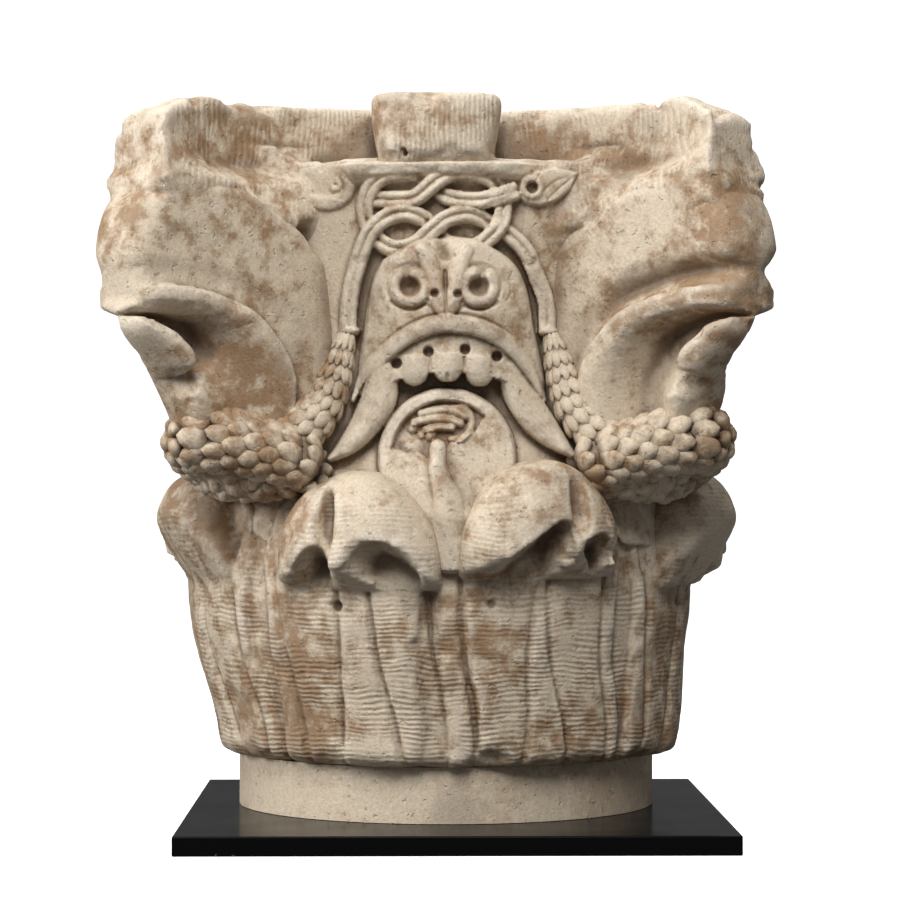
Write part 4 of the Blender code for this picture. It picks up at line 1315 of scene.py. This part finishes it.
class CapitalGarland(bpy.types.PropertyGroup):
    """Sizes of the garlands and their scales."""

    radius: length("Radius", "Radius of a garland at its thickest", 0.0225, 0.005, 0.06)
    row_spacing: length("Row spacing", "Distance between two rows of scales", 0.0109, 0.004, 0.05)
    scales_round: IntProperty(
        name="Scales round", description="Number of scales in one row", default=10, min=4, max=16)
    seed: IntProperty(name="Seed", description="Seed of the scales' variation", default=11, min=0)


class CapitalColours(bpy.types.PropertyGroup):
    """Colours of the marble, its patina and wear, and of the painted shade in sheltered places and
    crevices.
    """

    cream: colour_of("Cream", "clean marble", (0.64, 0.53, 0.395))
    patina: colour_of("Patina", "brown patches", (0.32, 0.20, 0.108))
    grey: colour_of("Grey", "greyed marble", (0.43, 0.365, 0.28))
    # Painted shade: the colour that sheltered, enclosed places are darkened towards
    shaded: colour_of("Sheltered", "sheltered stone", (0.22, 0.15, 0.095))
    # Crevices: dirt and painted shade
    crevice: colour_of("Crevice", "deep crevices", (0.115, 0.07, 0.038))
    edge: colour_of("Edge", "rubbed edges", (0.78, 0.70, 0.58))


class CapitalLight(bpy.types.PropertyGroup):
    """Strength of the studio light."""

    key: power("Key light", "from above the front", 78.0)
    side: power("Side light", "from the left", 38.0)
    top: power("Top light", "over the backdrop", 70.0)
    sky: FloatProperty(
        name="Surround", description="Strength of the white surround", default=0.16, min=0.0)


CORNERS = ("front_left", "front_right", "back_right", "back_left")
FACES = ("front", "right", "back", "left")
STILL = Matrix.Identity(4)


def quarter_turn(count):
    """Return the turn by a number of quarters, from the front to the right."""
    return Matrix.Rotation(math.radians(90.0 * count), 4, "Z")


def place_marble(piece):
    """Fix a marble piece to the body that the capital is."""
    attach(piece, "root")


class CapitalFinishes(bpy.types.Operator):
    """Make the finishes of the marble, the collar and the plate"""

    bl_idname = "capital.finishes"
    bl_label = "Make finishes"

    def execute(self, context):
        # This group paints patina, and also shade in sheltered places and crevices
        patina = patina_and_shade_group(context.scene.capital_colours)
        tooling = tooling_group()
        stone_material("marble", patina, tooling, 1.0, 3.6, 0.26)
        stone_material("collar stone", patina, tooling, 0.35, 5.0, 0.1)
        black_material()
        return {"FINISHED"}


class CapitalBody(bpy.types.Operator):
    """Carve the upper body with its abacus and bosses, and the lower bell with its leaves"""

    bl_idname = "capital.body"
    bl_label = "Carve body"

    def execute(self, context):
        carving = context.scene.capital_carving
        fineness = carving.body_fineness
        volutes = [STONES["volute_" + name] for name in CORNERS]
        upper = set_stone("upper_body", upper_stone(fineness, volutes), STILL, carving.wear,
                          190000, carving.seed)
        lower = set_stone("leaf_row", lower_stone(fineness), STILL, 0.75 * carving.wear,
                          195000, carving.seed)
        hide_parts("capital")
        place_marble(upper)
        place_marble(lower)
        return {"FINISHED"}


class CapitalVolutes(bpy.types.Operator):
    """Carve the four corner volutes"""

    bl_idname = "capital.volutes"
    bl_label = "Carve volutes"

    def execute(self, context):
        carving = context.scene.capital_carving
        for corner, name in enumerate(CORNERS):
            stub_side = 1.0 if corner in (0, 2) else -1.0
            undercut = 16.0 if corner == 0 else 0.0
            stone = volute_stone(carving.volute_fineness, corner in (1, 3), stub_side, undercut)
            place_marble(set_stone("volute_" + name, stone, corner_turn(corner),
                                   0.6 * carving.wear, 120000, carving.seed))
        return {"FINISHED"}


class CapitalReliefs(bpy.types.Operator):
    """Carve the reliefs of the four faces: mask, cords and medallion"""

    bl_idname = "capital.reliefs"
    bl_label = "Carve reliefs"

    def execute(self, context):
        carving = context.scene.capital_carving
        for face, name in enumerate(FACES):
            front = face == 0
            fineness = carving.relief_fineness if front else carving.body_fineness
            place_marble(set_stone("relief_" + name, panel_stone(fineness, front),
                                   quarter_turn(face), 0.35 * carving.wear,
                                   190000 if front else 70000, carving.seed))
        return {"FINISHED"}


def scale_mesh():
    """Return one scale of a garland: a rounded pod a unit long, its free end towards +x."""
    mesh = bpy.data.meshes.new("garland_scale")
    form = bmesh.new()
    bmesh.ops.create_uvsphere(form, u_segments=8, v_segments=6, radius=0.5)
    for vertex in form.verts:
        x, y, z = vertex.co
        vertex.co = (x, y * (1.0 - 0.6 * x), z * (0.9 + 0.8 * x))
    form.to_mesh(mesh)
    form.free()
    mesh.shade_smooth()
    return mesh


def garland_tree():
    """Build the node tree that sets rows of scales round a curve."""
    tree = bpy.data.node_groups.new("garland scales", "GeometryNodeTree")
    face = tree.interface
    face.new_socket("Geometry", in_out="INPUT", socket_type="NodeSocketGeometry")
    sockets = {}
    for name, kind in (("Row spacing", "NodeSocketFloat"), ("Scales round", "NodeSocketInt"),
                       ("Scale", "NodeSocketObject"), ("Material", "NodeSocketMaterial"),
                       ("Seed", "NodeSocketInt")):
        sockets[name] = face.new_socket(name, in_out="INPUT", socket_type=kind).identifier
    face.new_socket("Geometry", in_out="OUTPUT", socket_type="NodeSocketGeometry")
    source = tree.nodes.new("NodeGroupInput").outputs

    # Each row is turned by half a scale, so that the scales lie in the gaps of the row before
    rows = made(tree, "GeometryNodeResampleCurve",
                {"Curve": source["Geometry"], "Length": source["Row spacing"]}, mode="LENGTH")
    half_turns = calculate(tree, "MULTIPLY", made(tree, "GeometryNodeInputIndex"), math.pi)
    turn = calculate(tree, "DIVIDE", half_turns, source["Scales round"])
    tilted = made(tree, "GeometryNodeSetCurveTilt", {"Curve": rows, "Tilt": turn})
    held = tree.nodes.new("GeometryNodeCaptureAttribute")
    fields = (("Ahead", "VECTOR", "GeometryNodeInputTangent"),
              ("Middle", "VECTOR", "GeometryNodeInputPosition"),
              ("Share", "FLOAT", "GeometryNodeSplineParameter"),
              ("Girth", "FLOAT", "GeometryNodeInputRadius"))
    for name, kind, _ in fields:
        held.capture_items.new(kind, name)
    tree.links.new(tilted, held.inputs["Geometry"])
    for name, _, kind in fields:
        tree.links.new(made(tree, kind), held.inputs[name])
    path, girth = held.outputs["Geometry"], held.outputs["Girth"]

    def tube_round(count, share, **settings):
        ring = made(tree, "GeometryNodeCurvePrimitiveCircle",
                    {"Resolution": count, "Radius": share})
        return made(tree, "GeometryNodeCurveToMesh",
                    {"Curve": path, "Profile Curve": ring, "Scale": girth, **settings})

    def random(low, high, step):
        node = add_node(tree, "FunctionNodeRandomValue", {
            2: low, 3: high, "Seed": calculate(tree, "ADD", source["Seed"], step)})
        return node.outputs[1]

    # A scale's back faces away from the garland's middle line, its tip towards the corner
    place = made(tree, "GeometryNodeInputPosition")
    outward = made(tree, "ShaderNodeVectorMath", {0: place, 1: held.outputs["Middle"]},
                   operation="SUBTRACT")
    half = calculate(tree, "SUBTRACT", 0.5, held.outputs["Share"])
    ahead = made(tree, "ShaderNodeVectorMath",
                 {0: held.outputs["Ahead"], "Scale": calculate(tree, "SIGN", half)},
                 operation="SCALE")
    facing = made(tree, "FunctionNodeAxesToRotation",
                  {"Primary Axis": outward, "Secondary Axis": ahead},
                  primary_axis="Z", secondary_axis="X")
    tip = made(tree, "ShaderNodeCombineXYZ",
               {"Y": random(-0.34, -0.14, 0.0), "Z": random(-0.16, 0.16, 2.0)})
    lean = made(tree, "FunctionNodeEulerToRotation", {"Euler": tip})
    facing = made(tree, "FunctionNodeRotateRotation", {"Rotation": facing, "Rotate By": lean},
                  rotation_space="LOCAL")
    size = calculate(tree, "MULTIPLY", girth, random(0.88, 1.14, 1.0))
    sizes = made(tree, "ShaderNodeCombineXYZ", {
        "X": calculate(tree, "MULTIPLY_ADD", size, 0.46, 0.0115),
        "Y": calculate(tree, "MULTIPLY", size, 0.70), "Z": calculate(tree, "MULTIPLY", size, 0.42)})
    pod = add_node(tree, "GeometryNodeObjectInfo", {"Object": source["Scale"]})
    scales = made(tree, "GeometryNodeInstanceOnPoints", {
        "Points": tube_round(source["Scales round"], 0.80), "Instance": pod.outputs["Geometry"],
        "Rotation": facing, "Scale": sizes})
    both = tree.nodes.new("GeometryNodeJoinGeometry")
    tree.links.new(scales, both.inputs[0])
    tree.links.new(tube_round(12, 0.82, **{"Fill Caps": True}), both.inputs[0])
    plain = made(tree, "GeometryNodeRealizeInstances", {"Geometry": both.outputs[0]})
    painted = made(tree, "GeometryNodeSetMaterial",
                   {"Geometry": plain, "Material": source["Material"]})
    tree.links.new(painted, tree.nodes.new("NodeGroupOutput").inputs[0])
    return tree, sockets


class CapitalGarlands(bpy.types.Operator):
    """Hang the four garlands of scales between the faces"""

    bl_idname = "capital.garlands"
    bl_label = "Hang garlands"

    def execute(self, context):
        sizes = context.scene.capital_garland
        tree, sockets = garland_tree()
        scale = shown("garland_scale", scale_mesh())
        path = garland_path(sizes.radius / MM)
        for corner, name in enumerate(CORNERS):
            turn = quarter_turn(corner)
            curve = bpy.data.curves.new("garland_line", "CURVE")
            curve.dimensions = "3D"
            spline = curve.splines.new("POLY")
            spline.points.add(len(path) - 1)
            for point, (x, y, h, radius) in zip(spline.points, path):
                point.co = (*(turn @ Vector((x, y, h + FOOT)) * MM), 1.0)
                point.radius = radius * MM
            line = shown("garland_line", curve)
            nodes = line.modifiers.new("scales", "NODES")
            nodes.node_group = tree
            for socket, value in (("Row spacing", sizes.row_spacing), ("Scale", scale),
                                  ("Scales round", sizes.scales_round),
                                  ("Material", FINISHES["marble"]),
                                  ("Seed", sizes.seed + corner)):
                nodes[sockets[socket]] = value
            ready = line.evaluated_get(context.evaluated_depsgraph_get())
            mesh = bpy.data.meshes.new_from_object(ready)
            line.modifiers.remove(nodes)
            bpy.data.objects.remove(line)
            mesh.shade_smooth()
            place_marble(shown("garland_" + name, mesh))
        bpy.data.objects.remove(scale)
        return {"FINISHED"}


def abacus_rows(points):
    """Return where upright chisel rows repeat on the abacus, and how far off an arris is."""
    x, y = points[:, 0] - UPPER_SHIFT, points[:, 1]
    past = diagonal_reach(x, y) - (ABACUS_CORNER_REACH - 9.0)
    diagonal = (x * np.sign(y) - y * np.sign(x)) * math.sqrt(0.5)
    row = np.where(past > 0.0, diagonal, np.where(np.abs(y) > np.abs(x), x, y))
    arris = np.minimum(np.abs(past), np.where(past > 0.0, FAR, np.abs(np.abs(x) - np.abs(y))))
    return row, arris


def stone_marks(name, stone, turn, shelter):
    """Return the marks that the materials read on a carved piece."""
    item = bpy.data.objects[name]
    bend = stone.read(stone.bend(), stone_places(item, turn))
    world = stone_places(item, STILL)
    normals = places_of(item.data, "normals")
    h = world[:, 2]
    # Share of stone round each vertex, which the materials paint as shade
    hidden = shelter.at(world + normals * SHELTER_OFF)
    if name == "upper_body":
        # The abacus's upright faces are combed, less so its worn ends; painted shade is added beside
        # the bosses
        row, arris = abacus_rows(world)
        ends = diagonal_reach(world[:, 0] - UPPER_SHIFT, world[:, 1])
        tooled = np.where((h > 396.0) & (np.abs(normals[:, 2]) < 0.6), 0.75, 0.25)
        tooled = tooled * ease(0.0, 1.0, (arris - 3.0) / 4.0) * np.where(ends > 284.0, 0.35, 1.0)
        nook = np.minimum(np.abs(world[:, 0] - UPPER_SHIFT), np.abs(world[:, 1])) - BOSS_HALF
        hidden += 0.20 * ease(1.0, 0.0, nook / 55.0) * (h > 432.0) * (nook > 1.0)
    elif name == "leaf_row":
        row = h
        tooled = ease(0.9, 0.45, (h - 110.0) / 30.0)
    else:
        row = (h + world[:, 0]) * math.sqrt(0.5)
        tooled = np.full(len(h), 0.12)
    # Crevices take dirt and painted shade, sheltered places painted shade, and edges turn pale
    return {"crevice": np.clip(-EDGE_GAIN * bend, 0.0, 1.0),
            "edge": np.clip(EDGE_GAIN * bend, 0.0, 1.0),
            "shelter": hidden * SHELTER_SHARES[name.split("_")[0]], "row": row,
            "tooled": tooled * ease(1.0, 0.2, (hidden - 0.5) / 0.15)}


def garland_marks(item, path, shelter):
    """Return the marks on a garland, where the gaps between its scales are the crevices that take
    dirt and painted shade.
    """
    world = stone_places(item, STILL)
    away = np.linalg.norm(world[:, None] - path[None, :, :3], axis=2)
    nearest = away.argmin(axis=1)
    share = away[np.arange(len(world)), nearest] / path[nearest, 3]
    # Painted shade where the garland is enclosed, a little stronger than on the stones
    hidden = shelter.at(world + places_of(item.data, "normals") * SHELTER_OFF) + 0.1
    return {"crevice": np.clip((0.98 - share) / 0.16, 0.0, 1.0),
            "edge": np.clip((share - 1.08) / 0.12, 0.0, 1.0),
            "shelter": hidden, "row": world[:, 2], "tooled": np.zeros(len(world))}


class CapitalPatina(bpy.types.Operator):
    """Mark where the stone is worn, tooled and sheltered, for patina and painted shade, and finish
    every piece
    """

    bl_idname = "capital.patina"
    bl_label = "Stain and tool"

    def execute(self, context):
        shelter = Shelter(4.0)
        for stone, turn in STONES.values():
            shelter.take_in(stone, turn)
        shelter.spread(14.0)
        for name, (stone, turn) in STONES.items():
            item = bpy.data.objects[name]
            write_marks(item, stone_marks(name, stone, turn, shelter))
            item.data.materials.append(FINISHES["marble"])
        for corner, name in enumerate(CORNERS):
            item = bpy.data.objects["garland_" + name]
            path = garland_path(context.scene.capital_garland.radius / MM)
            path[:, :3] = path[:, :3] @ np.array(quarter_turn(corner).to_3x3()).T
            write_marks(item, garland_marks(item, path, shelter))
        for name, material in (("collar", "collar stone"), ("base_plate", "black plate")):
            node = frame["nodes"][name]
            node.data.materials.clear()
            node.data.materials.append(FINISHES[material])
        return {"FINISHED"}


def pale_sweep():
    """Return a floor that bends up into a backdrop, hidden from the stone's own reflections."""
    half, back, curve, high = 4.0, 3.4, 1.2, 4.0
    rows = [(-half, 0.0)]
    for degrees in range(0, 91, 6):
        angle = math.radians(degrees)
        rows.append((back + curve * math.sin(angle), curve - curve * math.cos(angle)))
    rows.append((back + curve, high))
    mesh = bpy.data.meshes.new("sweep")
    mesh.from_pydata([(x, y, z) for y, z in rows for x in (-half, half)], [],
                     [(2 * i, 2 * i + 1, 2 * i + 3, 2 * i + 2) for i in range(len(rows) - 1)])
    mesh.shade_smooth()
    _, shader = new_material("pale sweep")
    for socket, value in (("Base Color", (0.95, 0.95, 0.945, 1.0)), ("Roughness", 0.9),
                          ("Emission Color", (1.0, 1.0, 1.0, 1.0)), ("Emission Strength", 0.65)):
        shader.inputs[socket].default_value = value
    mesh.materials.append(FINISHES["pale sweep"])
    sweep = shown("sweep", mesh)
    sweep.visible_diffuse = False
    sweep.visible_glossy = False
    return sweep


class CapitalStage(bpy.types.Operator):
    """Set the pale floor, the studio light and the camera"""

    bl_idname = "capital.stage"
    bl_label = "Set the stage"

    def execute(self, context):
        scene = context.scene
        pale_sweep()
        aim = Vector((0.0, 0.0, 0.27))
        light = scene.capital_light
        for name, energy, width, place, target in (
                ("key", light.key, 1.4, (-0.3, -2.1, 2.15), aim),
                ("side", light.side, 0.9, (-2.3, -0.6, 0.95), aim),
                ("top", light.top, 2.4, (0.0, 1.6, 3.2), Vector((0.0, 1.0, 0.0)))):
            lamp_data = bpy.data.lights.new(name, "AREA")
            lamp_data.energy = energy
            lamp_data.size = width
            lamp = shown(name, lamp_data)
            lamp.location = place
            lamp.rotation_euler = (target - Vector(place)).to_track_quat("-Z", "Y").to_euler()
        world = bpy.data.worlds.new("white surround")
        world.use_nodes = True
        surround = world.node_tree.nodes["Background"]
        surround.inputs["Color"].default_value = (1.0, 1.0, 1.0, 1.0)
        surround.inputs["Strength"].default_value = light.sky
        scene.world = world
        scene.view_settings.view_transform = "Standard"
        eye = bpy.data.cameras.new("camera")
        eye.lens = CAMERA_LENS
        eye.sensor_width = CAMERA_SENSOR
        eye.shift_y = CAMERA_SHIFT
        scene.camera = shown("camera", eye)
        aside, up = CAMERA_PLACE
        scene.camera.location = (aside - CAMERA_AWAY * math.sin(CAMERA_YAW),
                                 -CAMERA_AWAY * math.cos(CAMERA_YAW), up)
        scene.camera.rotation_euler = (math.pi / 2, 0.0, -CAMERA_YAW)
        return {"FINISHED"}


class CapitalPanel(bpy.types.Panel):
    """Settings and steps of the capital"""

    bl_idname = "VIEW3D_PT_capital"
    bl_label = "Romanesque capital"
    bl_space_type = "VIEW_3D"
    bl_region_type = "UI"
    bl_category = "Capital"

    def draw(self, context):
        for settings in SETTINGS:
            group = getattr(context.scene, settings)
            for name in group.__annotations__:
                self.layout.prop(group, name)
        for step in STEPS:
            self.layout.operator(step.bl_idname)


SETTINGS = {"capital_carving": CapitalCarving, "capital_garland": CapitalGarland,
            "capital_colours": CapitalColours, "capital_light": CapitalLight}
STEPS = (CapitalFinishes, CapitalVolutes, CapitalBody, CapitalReliefs, CapitalGarlands,
         CapitalPatina, CapitalStage)


def register():
    """Register the add-on's settings, steps and panel."""
    for kind in (*SETTINGS.values(), *STEPS, CapitalPanel):
        bpy.utils.register_class(kind)
    for name, kind in SETTINGS.items():
        setattr(bpy.types.Scene, name, PointerProperty(type=kind))


def unregister():
    """Remove what register added."""
    for name in SETTINGS:
        delattr(bpy.types.Scene, name)
    for kind in (CapitalPanel, *reversed(STEPS), *reversed(SETTINGS.values())):
        bpy.utils.unregister_class(kind)


def main():
    """Build the capital from its settings."""
    register()
    bpy.ops.capital.finishes()
    bpy.ops.capital.volutes()
    bpy.ops.capital.body()
    bpy.ops.capital.reliefs()
    bpy.ops.capital.garlands()
    bpy.ops.capital.patina()
    bpy.ops.capital.stage()


if __name__ == "__main__":
    main()
